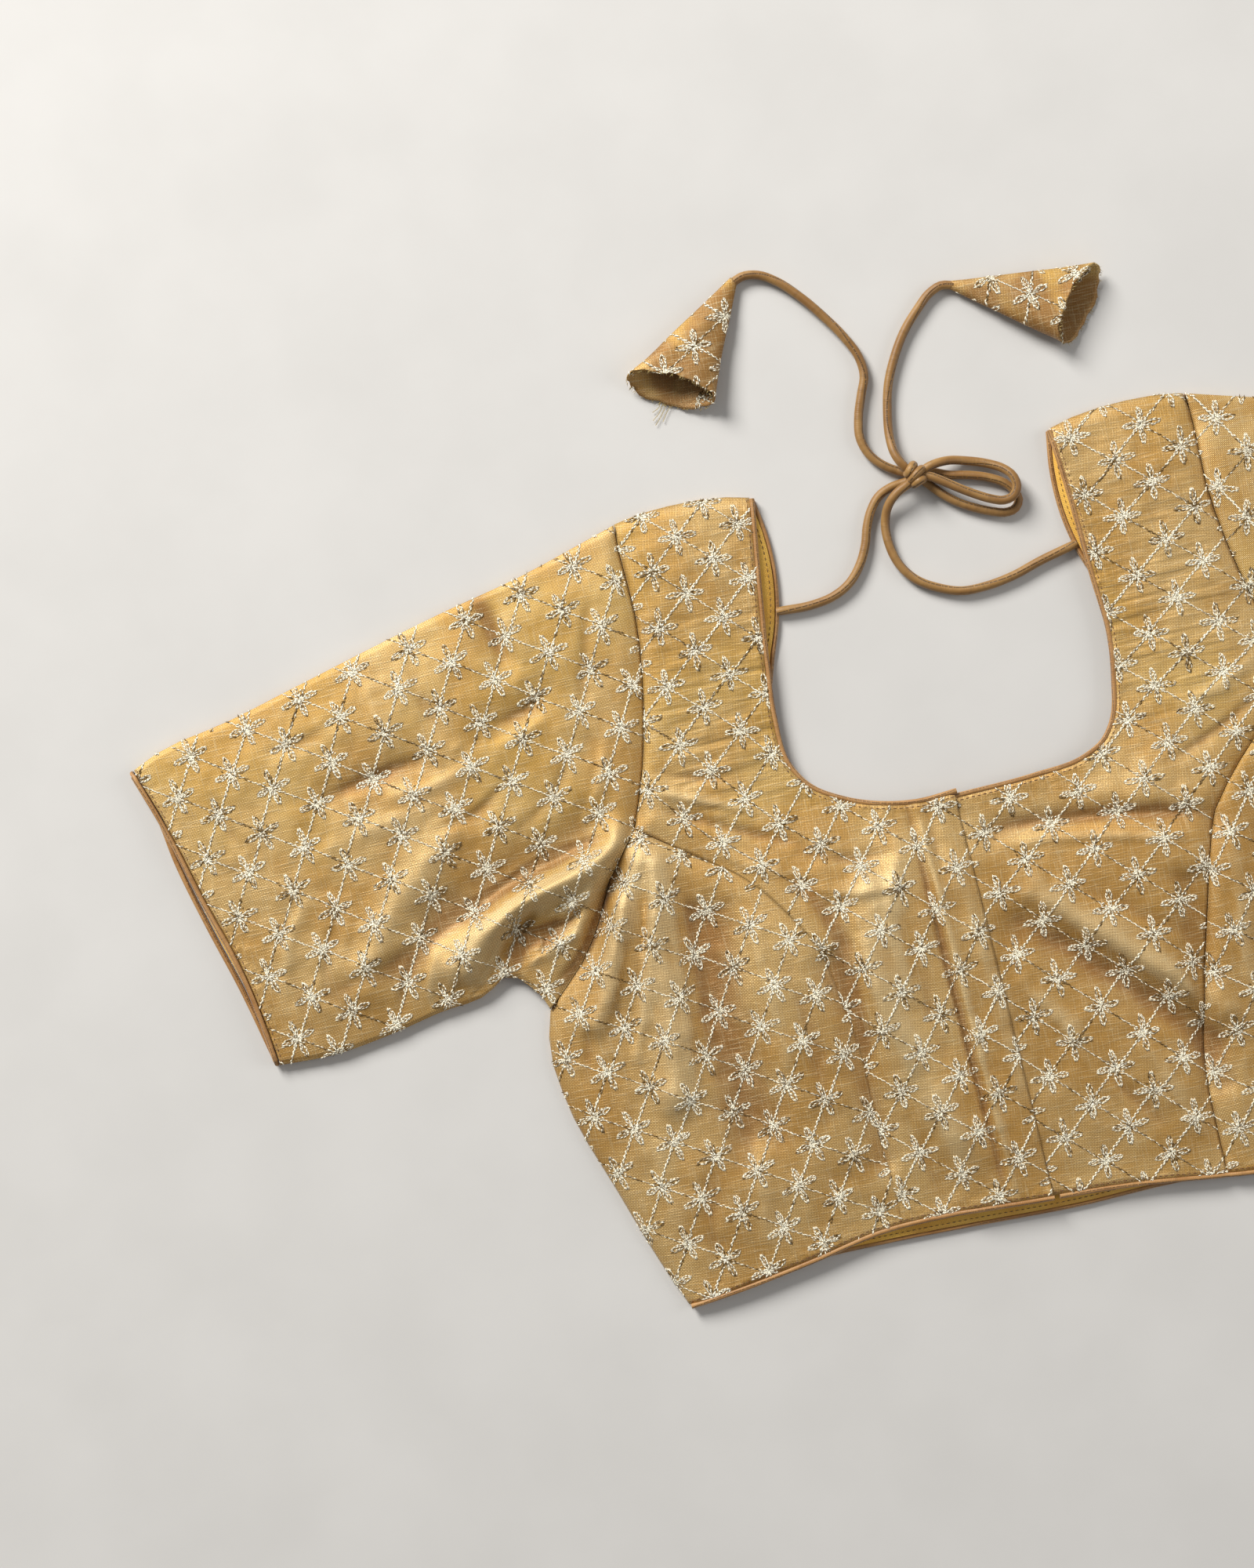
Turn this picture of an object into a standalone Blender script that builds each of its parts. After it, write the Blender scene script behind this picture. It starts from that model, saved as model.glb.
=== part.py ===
# Square neck blouse laid flat on its back: two fronts lie over one back, the sleeves lie out to the
# sides, and the two neck ties are tied in a bow and laid out above the shoulders.
# Units are metres. X runs across, Y towards the shoulders, Z up. The origin is on the surface under
# the middle of the garment. Tables give places as (across, down): across from the centre line, and
# down from the line through the shoulder tips. Left and right are as seen from above the front.

import math

import bmesh
import bpy
import numpy as np
from mathutils.geometry import delaunay_2d_cdt

# Driving sizes
SHOULDER_Y = 0.19111
LEFT, RIGHT = -1, 1
WALL = 0.0015
SEAM_GAP = 0.0003
LINING_WALL = 0.0010
LINING_INSET = 0.0078
PIPING = 0.0026
PIPING_ROOM = 0.0034
PIPING_EDGE = 0.0002
PIPING_REST = 0.0001
PIPING_ENDS = 0.0005
CUFF_LINING_DEPTH = 0.032
CUFF_LINING_SHARES = (0.06, 0.94)
MESH_STEP = 0.0135
NECK_STEP = 0.0095
FLAT_STEP = 0.040

# Heights: the back, its lining and then the front lie on each other
LINING_Z = WALL + SEAM_GAP
FRONT_REST = 0.0039
EDGE_REST = WALL + SEAM_GAP
EDGE_ROLL = 0.004
SLEEVE_ROLL = (FRONT_REST + WALL) / 2
LOFT = 0.0040
LOFT_REACH = 0.020
FREE_SHARE = 0.25
FREE_REACH = 0.030
BUST_HEIGHT = 0.0085
BUST_ACROSS, BUST_DOWN = 0.098, 0.236
BUST_REACH = (0.062, 0.078)
SEAM_DIP = 0.0016
SEAM_REACH = 0.005
CLOSED_FADE = 0.010
FREE_FADE = 0.016
FREE_LEAST = 0.35
LEAST_RISE = 0.0008
LAP_STEP = WALL + SEAM_GAP + 0.0003
LAP_FADE = 0.014
LAP_MARGIN = 0.012
LAP_TOP, LAP_FOOT = 0.164, 0.374
LAP_START = 0.150

# Places on the cut: (across, down)
SHOULDER = ((0.0745, 0.0), (0.094, -0.0045), (0.112, -0.0055), (0.129, -0.0053), (0.146, -0.0027))
ARMHOLE_UPPER = (
    (0.146, -0.0027),
    (0.1465, 0.010),
    (0.1458, 0.046),
    (0.151, 0.085),
    (0.161, 0.124),
    (0.170, 0.1475),
)
ARMHOLE_LOWER = (
    (0.170, 0.1475),
    (0.180, 0.160),
    (0.189, 0.1715),
    (0.197, 0.188),
    (0.208, 0.204),
    (0.231, 0.226),
)
SIDE_SEAM = (
    (0.231, 0.226),
    (0.2355, 0.243),
    (0.2335, 0.273),
    (0.2195, 0.3195),
    (0.203, 0.3685),
    (0.1955, 0.387),
)
SLEEVE_TOP = (
    (0.146, -0.0027),
    (0.169, 0.004),
    (0.194, 0.011),
    (0.241, 0.021),
    (0.322, 0.041),
    (0.356, 0.0495),
    (0.394, 0.057),
    (0.4095, 0.064),
)
SLEEVE_UNDER = (
    (0.231, 0.226),
    (0.235, 0.2165),
    (0.241, 0.210),
    (0.246, 0.2050),
    (0.251, 0.2052),
    (0.258, 0.2105),
    (0.285, 0.2150),
    (0.310, 0.220),
    (0.341, 0.2238),
    (0.3713, 0.2225),
)
CUFF_FRONT = (
    (0.4095, 0.064),
    (0.399, 0.096),
    (0.389, 0.1345),
    (0.379, 0.170),
    (0.373, 0.2055),
    (0.3713, 0.2225),
)
CUFF_BACK = (
    (0.4095, 0.064),
    (0.4015, 0.089),
    (0.398, 0.112),
    (0.3895, 0.148),
    (0.3805, 0.181),
    (0.3713, 0.2225),
)
HEM_FRONT = (
    (-0.1955, 0.387),
    (-0.176, 0.385),
    (-0.131, 0.3783),
    (-0.094, 0.3718),
    (-0.060, 0.3713),
    (-0.020, 0.3736),
    (0.033, 0.3771),
    (0.092, 0.3845),
    (0.150, 0.3880),
    (0.1955, 0.387),
)
HEM_BACK = (
    (-0.1955, 0.387),
    (-0.160, 0.3815),
    (-0.127, 0.3777),
    (-0.095, 0.3777),
    (-0.052, 0.379),
    (0.005, 0.3812),
    (0.050, 0.3806),
    (0.100, 0.3830),
    (0.150, 0.3865),
    (0.1955, 0.387),
)
NECK_FRONT_LEFT = (
    (0.0745, 0.0),
    (0.081, 0.046),
    (0.0858, 0.084),
    (0.088, 0.108),
    (0.086, 0.134),
    (0.0800, 0.1440),
    (0.064, 0.155),
    (0.044, 0.162),
    (0.0285, 0.1642),
    (0.0113, 0.1634),
)
NECK_FRONT_RIGHT = (
    (0.0745, 0.0),
    (0.0770, 0.035),
    (0.0790, 0.078),
    (0.0806, 0.104),
    (0.0777, 0.128),
    (0.0722, 0.148),
    (0.0660, 0.1560),
    (0.0555, 0.1614),
    (0.030, 0.1646),
    (-0.0095, 0.1658),
)
NECK_BACK = (
    (0.0745, 0.0),
    (0.0718, 0.0195),
    (0.0720, 0.041),
    (0.0755, 0.0605),
    (0.084, 0.085),
    (0.092, 0.115),
    (0.0925, 0.155),
    (0.078, 0.192),
    (0.045, 0.212),
    (0.0, 0.219),
)
PRINCESS_LEFT = (
    (0.170, 0.1475),
    (0.1427, 0.168),
    (0.122, 0.184),
    (0.106, 0.205),
    (0.0945, 0.226),
    (0.0895, 0.250),
    (0.0855, 0.280),
    (0.0855, 0.320),
    (0.0840, 0.360),
)
PRINCESS_RIGHT = (
    (0.170, 0.1475),
    (0.146, 0.167),
    (0.1256, 0.1868),
    (0.113, 0.202),
    (0.1057, 0.220),
    (0.0983, 0.2465),
    (0.0846, 0.303),
    (0.0794, 0.334),
    (0.0792, 0.365),
)
PRINCESS_HEM = {LEFT: -0.0838, RIGHT: 0.0792}
LAP_EDGE = {"neck": -0.0113, "hem": -0.0080}
UNDERLAP_EDGE = {"neck": -0.0340, "hem": -0.0320}

# Folds of the front layer: height, width, sides, route of (across, down) points
BOTH = (LEFT, RIGHT)
FOLDS = (
    (0.0075, 0.0100, BOTH, ((0.181, 0.154), (0.200, 0.163), (0.234, 0.169), (0.255, 0.183), (0.268, 0.196))),
    (-0.0040, 0.0110, BOTH, ((0.192, 0.142), (0.225, 0.152), (0.255, 0.162), (0.278, 0.172))),
    (-0.0035, 0.0070, BOTH, ((0.236, 0.181), (0.251, 0.205))),
    (0.0025, 0.0090, BOTH, ((0.262, 0.130), (0.300, 0.165), (0.318, 0.195))),
    (-0.0025, 0.0080, BOTH, ((0.221, 0.016), (0.215, 0.050))),
    (-0.0020, 0.0080, BOTH, ((0.204, 0.074), (0.228, 0.083))),
    (-0.0018, 0.0100, BOTH, ((0.270, 0.091), (0.313, 0.097))),
    (0.0055, 0.0085, BOTH, ((0.165, 0.168), (0.169, 0.198), (0.172, 0.232), (0.173, 0.256), (0.179, 0.280))),
    (0.0045, 0.0075, BOTH, ((0.186, 0.184), (0.195, 0.216), (0.212, 0.236))),
    (-0.0055, 0.0160, BOTH, ((0.146, 0.205), (0.149, 0.250), (0.145, 0.305))),
    (-0.0035, 0.0075, BOTH, ((0.092, 0.236), (0.086, 0.282), (0.086, 0.335))),
    (0.0030, 0.0110, (LEFT,), ((0.060, 0.205), (0.066, 0.262), (0.050, 0.330))),
    (-0.0022, 0.0080, (RIGHT,), ((0.005, 0.188), (0.060, 0.194), (0.112, 0.207))),
    (-0.0032, 0.0110, (RIGHT,), ((0.006, 0.237), (0.045, 0.272), (0.084, 0.315))),
    (0.0030, 0.0100, (RIGHT,), ((0.016, 0.222), (0.060, 0.262), (0.092, 0.300))),
)

# Neck ties
CORD = 0.0045
CORD_STEP = 0.0105
KNOT = {"at": (0.0060, 0.0072), "size": (0.0125, 0.0100, 0.0100), "turn": math.radians(-38)}
LOW = CORD / 2 + 0.0002
HIGH = LOW + CORD + 0.0005
MID = (LOW + HIGH) / 2

# Tie routes: (across, down, height of the centre)
TIES = {
    "tie_run_left": (
        (-0.0745, 0.0580, LOW),
        (-0.0582, 0.0586, LOW),
        (-0.0471, 0.0568, LOW),
        (-0.0386, 0.0527, LOW),
        (-0.0306, 0.0442, LOW),
        (-0.0257, 0.0349, LOW),
        (-0.0230, 0.0267, LOW),
        (-0.0192, 0.0192, LOW),
        (-0.0139, 0.0132, LOW),
        (-0.0072, 0.0103, LOW),
        (0.0004, 0.0093, LOW),
    ),
    "tie_run_right": (
        (0.0749, 0.0588, LOW),
        (0.0571, 0.0628, LOW),
        (0.0422, 0.0670, LOW),
        (0.0281, 0.0689, LOW),
        (0.0158, 0.0685, LOW),
        (0.0048, 0.0643, LOW),
        (-0.0050, 0.0579, LOW),
        (-0.0116, 0.0486, LOW),
        (-0.0143, 0.0375, LOW),
        (-0.0138, 0.0272, LOW),
        (-0.0105, 0.0190, MID),
        (-0.0052, 0.0140, HIGH),
        (0.0016, 0.0108, HIGH),
    ),
    "tie_tail_left": (
        (-0.0606, -0.1071, LOW),
        (-0.0559, -0.1088, LOW),
        (-0.0476, -0.1077, LOW),
        (-0.0399, -0.1029, LOW),
        (-0.0302, -0.0930, LOW),
        (-0.0207, -0.0804, LOW),
        (-0.0131, -0.0683, LOW),
        (-0.0080, -0.0565, LOW),
        (-0.0075, -0.0470, LOW),
        (-0.0110, -0.0381, LOW),
        (-0.0150, -0.0269, LOW),
        (-0.0165, -0.0168, LOW),
        (-0.0135, -0.0075, LOW),
        (-0.0078, -0.0010, LOW),
        (0.0003, 0.0041, LOW),
    ),
    "tie_tail_right": (
        (0.0461, -0.0808, LOW),
        (0.0402, -0.0822, LOW),
        (0.0337, -0.0799, LOW),
        (0.0262, -0.0736, LOW),
        (0.0173, -0.0645, LOW),
        (0.0094, -0.0527, LOW),
        (0.0033, -0.0401, LOW),
        (-0.0002, -0.0269, LOW),
        (-0.0022, -0.0136, MID - 0.0008),
        (-0.0016, -0.0040, HIGH),
        (0.0015, 0.0023, HIGH + 0.0002),
    ),
    "tie_loop_left": (
        (0.0119, 0.0052, HIGH),
        (0.0225, 0.0038, MID + 0.0008),
        (0.0325, 0.0058, LOW + 0.0004),
        (0.0424, 0.0095, LOW + 0.0006),
        (0.0492, 0.0137, MID),
        (0.0531, 0.0190, HIGH),
        (0.0536, 0.0245, HIGH + 0.0003),
        (0.0508, 0.0285, HIGH + 0.0003),
        (0.0458, 0.0295, HIGH),
        (0.0400, 0.0275, HIGH),
        (0.0330, 0.0236, HIGH),
        (0.0260, 0.0190, HIGH),
        (0.0195, 0.0143, HIGH),
        (0.0123, 0.0095, HIGH),
    ),
    "tie_loop_right": (
        (0.0126, 0.0071, LOW),
        (0.0231, 0.0109, LOW),
        (0.0312, 0.0128, LOW),
        (0.0410, 0.0162, LOW),
        (0.0492, 0.0212, LOW),
        (0.0530, 0.0265, LOW),
        (0.0538, 0.0305, LOW),
        (0.0510, 0.0345, LOW),
        (0.0461, 0.0353, LOW),
        (0.0400, 0.0335, LOW),
        (0.0323, 0.0300, LOW),
        (0.0248, 0.0256, LOW),
        (0.0175, 0.0196, LOW),
        (0.0107, 0.0118, LOW),
    ),
}

# Fabric cones: tip, and the two corners of the flattened mouth
TASSELS = {
    "tassel_left": ((-0.0621, -0.1060), (-0.1242, -0.0723), (-0.0840, -0.0492)),
    "tassel_right": ((0.0472, -0.0803), (0.1180, -0.0750), (0.0921, -0.0385)),
}
TASSEL_WALL = 0.0012
TASSEL_HEIGHT = (0.0052, 0.0150)
TASSEL_TIP_WIDTH = 0.0056
TASSEL_SIDES = 16
TASSEL_RIM_SLANT = 0.0050

# Finishes: base colour, roughness, metallic
FINISHES = {
    "tissue_cloth": ((0.56, 0.35, 0.11), 0.45, 0.35),
    "piping_cloth": ((0.50, 0.26, 0.09), 0.50, 0.10),
    "lining_cloth": ((0.58, 0.33, 0.035), 0.60, 0.0),
    "tie_cloth": ((0.47, 0.25, 0.09), 0.60, 0.0),
}


def material(name):
    found = bpy.data.materials.get(name)
    if found:
        return found
    colour, roughness, metallic = FINISHES[name]
    made = bpy.data.materials.new(name)
    made.use_nodes = True
    shader = made.node_tree.nodes["Principled BSDF"]
    shader.inputs["Base Color"].default_value = (*colour, 1.0)
    shader.inputs["Roughness"].default_value = roughness
    shader.inputs["Metallic"].default_value = metallic
    return made


def place(rows, side=RIGHT):
    """World X and Y of a table's (across, down) rows, on the right or mirrored to the left."""
    table = np.array(rows, float)[:, :2]
    return np.stack([side * table[:, 0], SHOULDER_Y - table[:, 1]], 1)


def lengths(points):
    """Distance along the line to each of its points."""
    return np.concatenate([[0.0], np.cumsum(np.linalg.norm(np.diff(points, axis=0), axis=1))])


def at(points, shares):
    """Points at these shares of a line's length."""
    run = lengths(points)
    wanted = np.atleast_1d(shares) * run[-1]
    return np.stack([np.interp(wanted, run, points[:, k]) for k in range(points.shape[1])], 1)


def smooth(points, step):
    """Evenly spaced points, about a step apart, on a smooth curve through the given ones."""
    points = np.asarray(points, float)
    run = lengths(points)
    slope = np.gradient(points, run, axis=0)
    fine = []
    for i in range(len(points) - 1):
        span = run[i + 1] - run[i]
        for t in np.linspace(0, 1, 12, endpoint=False):
            a, b = (1 + 2 * t) * (1 - t) ** 2, t * (1 - t) ** 2
            c, d = t * t * (3 - 2 * t), t * t * (t - 1)
            fine.append(a * points[i] + b * span * slope[i] + c * points[i + 1] + d * span * slope[i + 1])
    fine = np.array([*fine, points[-1]])
    count = max(1, round(lengths(fine)[-1] / step))
    return at(fine, np.linspace(0, 1, count + 1))


def trimmed(points, start, end):
    """The line without its first and last stretch of these lengths."""
    total = lengths(points)[-1]
    return at(points, np.linspace(start / total, 1 - end / total, len(points)))


def between(points, first_x, last_x, step):
    """The stretch of a line that runs from one X to another."""
    xs = np.linspace(first_x, last_x, max(2, round(abs(last_x - first_x) / step)) + 1)
    order = np.argsort(points[:, 0])
    return np.stack([xs, np.interp(xs, points[order, 0], points[order, 1])], 1)


def distance(xy, line):
    """Shortest distance from each point to a line of points."""
    start, along = line[:-1], np.diff(line, axis=0)
    offset = xy[:, None] - start
    share = np.clip((offset * along).sum(2) / (along * along).sum(1), 0, 1)
    return np.linalg.norm(offset - share[..., None] * along, axis=2).min(1)


def nearest(xy, lines):
    return np.min([distance(xy, line) for line in lines], axis=0)


# Edges and seams of the cut, as smooth lines
FINE = 0.004
STOPS_UPPER = np.linspace(0, 1, 11)
STOPS_LOWER = np.linspace(0, 1, 8)
STOPS_BACK = np.linspace(0, 1, 10)


def armhole(side):
    upper, lower = (smooth(place(rows, side), FINE) for rows in (ARMHOLE_UPPER, ARMHOLE_LOWER))
    return np.concatenate([upper, lower[1:]])


def armhole_stops():
    """Shares of the armhole's length at which its front edge has points, the princess seam among them."""
    upper = lengths(smooth(place(ARMHOLE_UPPER), FINE))[-1]
    total = lengths(armhole(RIGHT))[-1]
    turn = upper / total
    return np.concatenate([STOPS_UPPER * turn, turn + STOPS_LOWER[1:] * (1 - turn)])


def princess(side):
    rows = PRINCESS_LEFT if side == LEFT else PRINCESS_RIGHT
    foot = hem_point(PRINCESS_HEM[side])
    return smooth(np.concatenate([place(rows, side), [foot]]), MESH_STEP)


def hem_point(x):
    line = smooth(place(HEM_FRONT), FINE)
    return np.array([x, np.interp(x, line[:, 0], line[:, 1])])


def neck_front(side, step=NECK_STEP):
    rows = NECK_FRONT_LEFT if side == LEFT else NECK_FRONT_RIGHT
    return smooth(place(rows, side), step)


def neck_back():
    half = place(NECK_BACK, LEFT)
    other = place(NECK_BACK, RIGHT)[::-1][1:]
    return smooth(np.concatenate([half, other]), NECK_STEP)


SHOULDERS = [smooth(place(SHOULDER, side), MESH_STEP) for side in BOTH]
SIDES = [smooth(place(SIDE_SEAM, side), MESH_STEP) for side in BOTH]
SLEEVE_EDGES = [smooth(place(rows, side), MESH_STEP) for rows in (SLEEVE_TOP, SLEEVE_UNDER) for side in BOTH]
CUFFS = [smooth(place(CUFF_FRONT, side), MESH_STEP) for side in BOTH]
SEAMS = [line for side in BOTH for line in (armhole(side), princess(side))]
FREE_EDGES = [smooth(place(HEM_FRONT), MESH_STEP), neck_front(LEFT), neck_front(RIGHT), *CUFFS]


def front_height(xy):
    """Height of the front layer's lower face: its loft, the bust, the folds and the dips along seams."""
    body_edge = nearest(xy, SHOULDERS + SIDES)
    closed = np.minimum(body_edge, nearest(xy, SLEEVE_EDGES))
    free = nearest(xy, FREE_EDGES)
    settled = FREE_SHARE + (1 - FREE_SHARE) * (1 - np.exp(-((free / FREE_REACH) ** 2)))
    rise = LOFT * (1 - np.exp(-((closed / LOFT_REACH) ** 2))) * settled
    shape = np.zeros(len(xy))
    for side in BOTH:
        (middle,) = place([(BUST_ACROSS, BUST_DOWN)], side)
        shape += BUST_HEIGHT * np.exp(-(((xy - middle) / BUST_REACH) ** 2).sum(1))
    for height, width, sides, route in FOLDS:
        for side in sides:
            away = distance(xy, smooth(place(route, side), MESH_STEP))
            shape += height * np.exp(-((away / width) ** 2))
    shape -= SEAM_DIP * np.exp(-((nearest(xy, SEAMS) / SEAM_REACH) ** 2))
    near_free = FREE_LEAST + (1 - FREE_LEAST) * (1 - np.exp(-((free / FREE_FADE) ** 2)))
    rise = rise + shape * near_free * (1 - np.exp(-((closed / CLOSED_FADE) ** 2)))
    softened = (rise + np.sqrt(rise**2 + LEAST_RISE**2)) / 2
    roll = (FRONT_REST - EDGE_REST) * np.exp(-((body_edge / EDGE_ROLL) ** 2))
    return FRONT_REST + softened - roll


def lapped_height(xy):
    """The left front: as the front layer, but stepped up over the right front's underlap."""
    down = SHOULDER_Y - xy[:, 1]
    share = np.clip((down - LAP_TOP) / (LAP_FOOT - LAP_TOP), 0, 1)
    underlap = UNDERLAP_EDGE["neck"] + share * (UNDERLAP_EDGE["hem"] - UNDERLAP_EDGE["neck"])
    past = np.clip((underlap - LAP_MARGIN - xy[:, 0]) / LAP_FADE, 0, 1)
    on_lap = np.where(down > LAP_START, 1 - past**2 * (3 - 2 * past), 0)
    return front_height(xy) + LAP_STEP * on_lap


def outline(*edges):
    """A closed outline of (points, inset) edges, each moved inwards by its own inset."""
    points = np.concatenate([line[:-1] for line, _ in edges])
    inset = np.concatenate([np.full(len(line) - 1, gap) for line, gap in edges])
    ahead = np.roll(points, -1, 0) - points
    area = (points[:, 0] * np.roll(points[:, 1], -1) - np.roll(points[:, 0], -1) * points[:, 1]).sum()
    normal = np.sign(area) * np.stack([-ahead[:, 1], ahead[:, 0]], 1)
    normal /= np.linalg.norm(normal, axis=1)[:, None]
    before, gap_before = np.roll(normal, 1, 0), np.roll(inset, 1)
    moved = []
    for point, n0, n1, d0, d1 in zip(points, before, normal, gap_before, inset):
        if abs(n0[0] * n1[1] - n0[1] * n1[0]) > 0.25:
            moved.append(point + np.linalg.solve([n0, n1], [d0, d1]))
        else:
            moved.append(point + (n0 + n1) / np.linalg.norm(n0 + n1) * (d0 + d1) / 2)
    return np.array(moved)


def inside(xy, ring):
    ahead = np.roll(ring, -1, 0)
    rises = (ring[:, 1] > xy[:, None, 1]) != (ahead[:, 1] > xy[:, None, 1])
    slope = (ahead[:, 0] - ring[:, 0]) / np.where(ahead[:, 1] == ring[:, 1], 1e-12, ahead[:, 1] - ring[:, 1])
    crossing = ring[:, 0] + (xy[:, None, 1] - ring[:, 1]) * slope
    return (rises & (xy[:, None, 0] < crossing)).sum(1) % 2 == 1


def fill_points(ring, step):
    """A triangular grid of points inside the outline, clear of its edge."""
    low, high = ring.min(0), ring.max(0)
    rows = []
    for k, y in enumerate(np.arange(low[1], high[1], step * math.sqrt(3) / 2)):
        xs = np.arange(low[0] + (k % 2) * step / 2, high[0], step)
        rows.append(np.stack([xs, np.full(len(xs), y)], 1))
    grid = np.concatenate(rows)
    grid = grid[inside(grid, ring)]
    return grid[distance(grid, np.concatenate([ring, ring[:1]])) > 0.6 * step]


def add_object(name, data, finish):
    data.materials.append(material(finish))
    made = bpy.data.objects.new(name, data)
    bpy.context.scene.collection.objects.link(made)
    return made


def finish_mesh(name, bm, finish):
    bmesh.ops.recalc_face_normals(bm, faces=bm.faces)
    mesh = bpy.data.meshes.new(name)
    bm.to_mesh(mesh)
    bm.free()
    mesh.shade_smooth()
    mesh.set_sharp_from_angle(angle=math.radians(50))
    return add_object(name, mesh, finish)


def cloth_panel(name, ring, lower_face, thickness, step, finish="tissue_cloth"):
    """A cloth wall over an outline, lifted to the height that lower_face gives."""
    points = np.concatenate([ring, fill_points(ring, step)])
    count = len(ring)
    edges = [(i, (i + 1) % count) for i in range(count)]
    flat, _, faces, *_ = delaunay_2d_cdt([tuple(p) for p in points], edges, [], 1, 1e-6)
    flat = np.array([tuple(p) for p in flat])
    heights = lower_face(flat)
    bm = bmesh.new()
    verts = [bm.verts.new((x, y, z)) for (x, y), z in zip(flat, heights)]
    for face in faces:
        bm.faces.new([verts[i] for i in face])
    grown = bmesh.ops.extrude_face_region(bm, geom=bm.faces[:], use_keep_orig=True)
    upper = [item for item in grown["geom"] if isinstance(item, bmesh.types.BMVert)]
    bmesh.ops.translate(bm, verts=upper, vec=(0, 0, thickness))
    return finish_mesh(name, bm, finish)


def flat_at(height):
    return lambda xy: np.full(len(xy), height)


def tube(name, points, width, finish, sides=6, cyclic=False):
    """A round cord or piping along the points, with closed ends unless it is a ring."""
    curve = bpy.data.curves.new(name, "CURVE")
    curve.dimensions = "3D"
    curve.bevel_depth = width / 2
    curve.bevel_resolution = (sides - 4) // 2
    curve.use_fill_caps = not cyclic
    spline = curve.splines.new("POLY")
    spline.points.add(len(points) - 1)
    spline.points.foreach_set("co", np.hstack([points, np.ones((len(points), 1))]).ravel())
    spline.use_cyclic_u = cyclic
    return add_object(name, curve, finish)


def piping_line(edge, lift, short):
    """The centre line of piping just inside an open edge: short at both ends, at the height lift gives."""
    ahead = np.gradient(edge, axis=0)
    normal = np.stack([-ahead[:, 1], ahead[:, 0]], 1) / np.linalg.norm(ahead, axis=1)[:, None]
    line = trimmed(edge + normal * (PIPING / 2 + PIPING_EDGE), short, short)
    return np.column_stack([line, lift(line)])


# Fronts

PANEL_SEAM = SEAM_GAP / 2
PIPING_LOW = PIPING_REST + PIPING / 2
PIPING_CROSSING = PIPING_LOW + PIPING + SEAM_GAP


def lap_line(edge, side):
    """The centre edge of a front, from the neck down to the hem."""
    top = neck_front(side)[-1]
    if side == RIGHT:
        top = np.array([edge["neck"], top[1]])
    return smooth([top, hem_point(edge["hem"])], MESH_STEP)


def make_front(side, lower_face, edge):
    name = "left" if side == LEFT else "right"
    stops = armhole_stops()
    turn = len(STOPS_UPPER) - 1
    hole = at(armhole(side), stops)
    seam = princess(side)
    hem = smooth(place(HEM_FRONT), FINE)
    side_seam = smooth(place(SIDE_SEAM, side), MESH_STEP)
    shoulder = smooth(place(SHOULDER, side), MESH_STEP)
    neck = neck_front(side)
    centre = lap_line(edge, side)
    if side == RIGHT:
        neck = np.concatenate([neck, [centre[0]]])
    corner_x, seam_x, centre_x = side_seam[-1, 0], seam[-1, 0], centre[-1, 0]
    side_ring = outline(
        (hole[turn:], PANEL_SEAM),
        (side_seam, 0.0),
        (between(hem, corner_x, seam_x, MESH_STEP), PIPING_ROOM),
        (seam[::-1], PANEL_SEAM),
    )
    cloth_panel("front_side_" + name, side_ring, lower_face, WALL, MESH_STEP)
    centre_ring = outline(
        (shoulder, 0.0),
        (hole[: turn + 1], PANEL_SEAM),
        (seam, PANEL_SEAM),
        (between(hem, seam_x, centre_x, MESH_STEP), PIPING_ROOM),
        (centre[::-1], 0.0),
        (neck[::-1], PIPING_ROOM),
    )
    cloth_panel("front_centre_" + name, centre_ring, lower_face, WALL, MESH_STEP)


def front_piping(side, lower_face):
    """Piping on one front's neck and hem, kept above the back's own piping where they cross."""
    name = "left" if side == LEFT else "right"

    def lift(xy):
        return np.maximum(lower_face(xy) + WALL / 2, PIPING_CROSSING)

    neck = neck_front(side)
    neck = neck[::-1] if side == LEFT else neck
    tube("neck_piping_" + name, piping_line(neck, lift, PIPING_ENDS), PIPING, "piping_cloth")
    hem = smooth(place(HEM_FRONT), FINE)
    corner_x = place(SIDE_SEAM, side)[-1, 0]
    stretch = between(hem, corner_x, LAP_EDGE["hem"] + side * PIPING_ENDS, MESH_STEP)
    stretch = stretch if side == LEFT else stretch[::-1]
    tube("hem_piping_" + name, piping_line(stretch, lift, 0.0), PIPING, "piping_cloth")


# Back

def back_armhole(side):
    return at(armhole(side), STOPS_BACK)


def back_ring(insets):
    """The back's outline, with an inset each for the shoulders, armholes and sides."""
    left, right = (
        (SHOULDERS[k], back_armhole(side), SIDES[k])
        for k, side in enumerate(BOTH)
    )
    return outline(
        *zip(right, insets),
        (smooth(place(HEM_BACK), MESH_STEP)[::-1], PIPING_ROOM),
        *((line[::-1], inset) for line, inset in zip(left[::-1], insets[::-1])),
        (neck_back(), PIPING_ROOM),
    )


def make_back():
    ring = back_ring((0.0, PANEL_SEAM, 0.0))
    cloth_panel("back_panel", ring, flat_at(0.0), WALL, FLAT_STEP)
    ring = back_ring((LINING_INSET, LINING_INSET, LINING_INSET))
    cloth_panel("back_lining", ring, flat_at(LINING_Z), LINING_WALL, FLAT_STEP, "lining_cloth")
    low = flat_at(PIPING_LOW)
    hem = smooth(place(HEM_BACK), MESH_STEP)
    tube("hem_piping_back", piping_line(hem, low, PIPING_ENDS), PIPING, "piping_cloth")
    tube("neck_piping_back", piping_line(neck_back()[::-1], low, PIPING_ENDS), PIPING, "piping_cloth")


# Sleeves

SLEEVE_STATIONS = 20
CUFF_TURN = 0.7
ROLL_ANGLES = np.radians((-90, -30, 30, 90))


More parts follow.
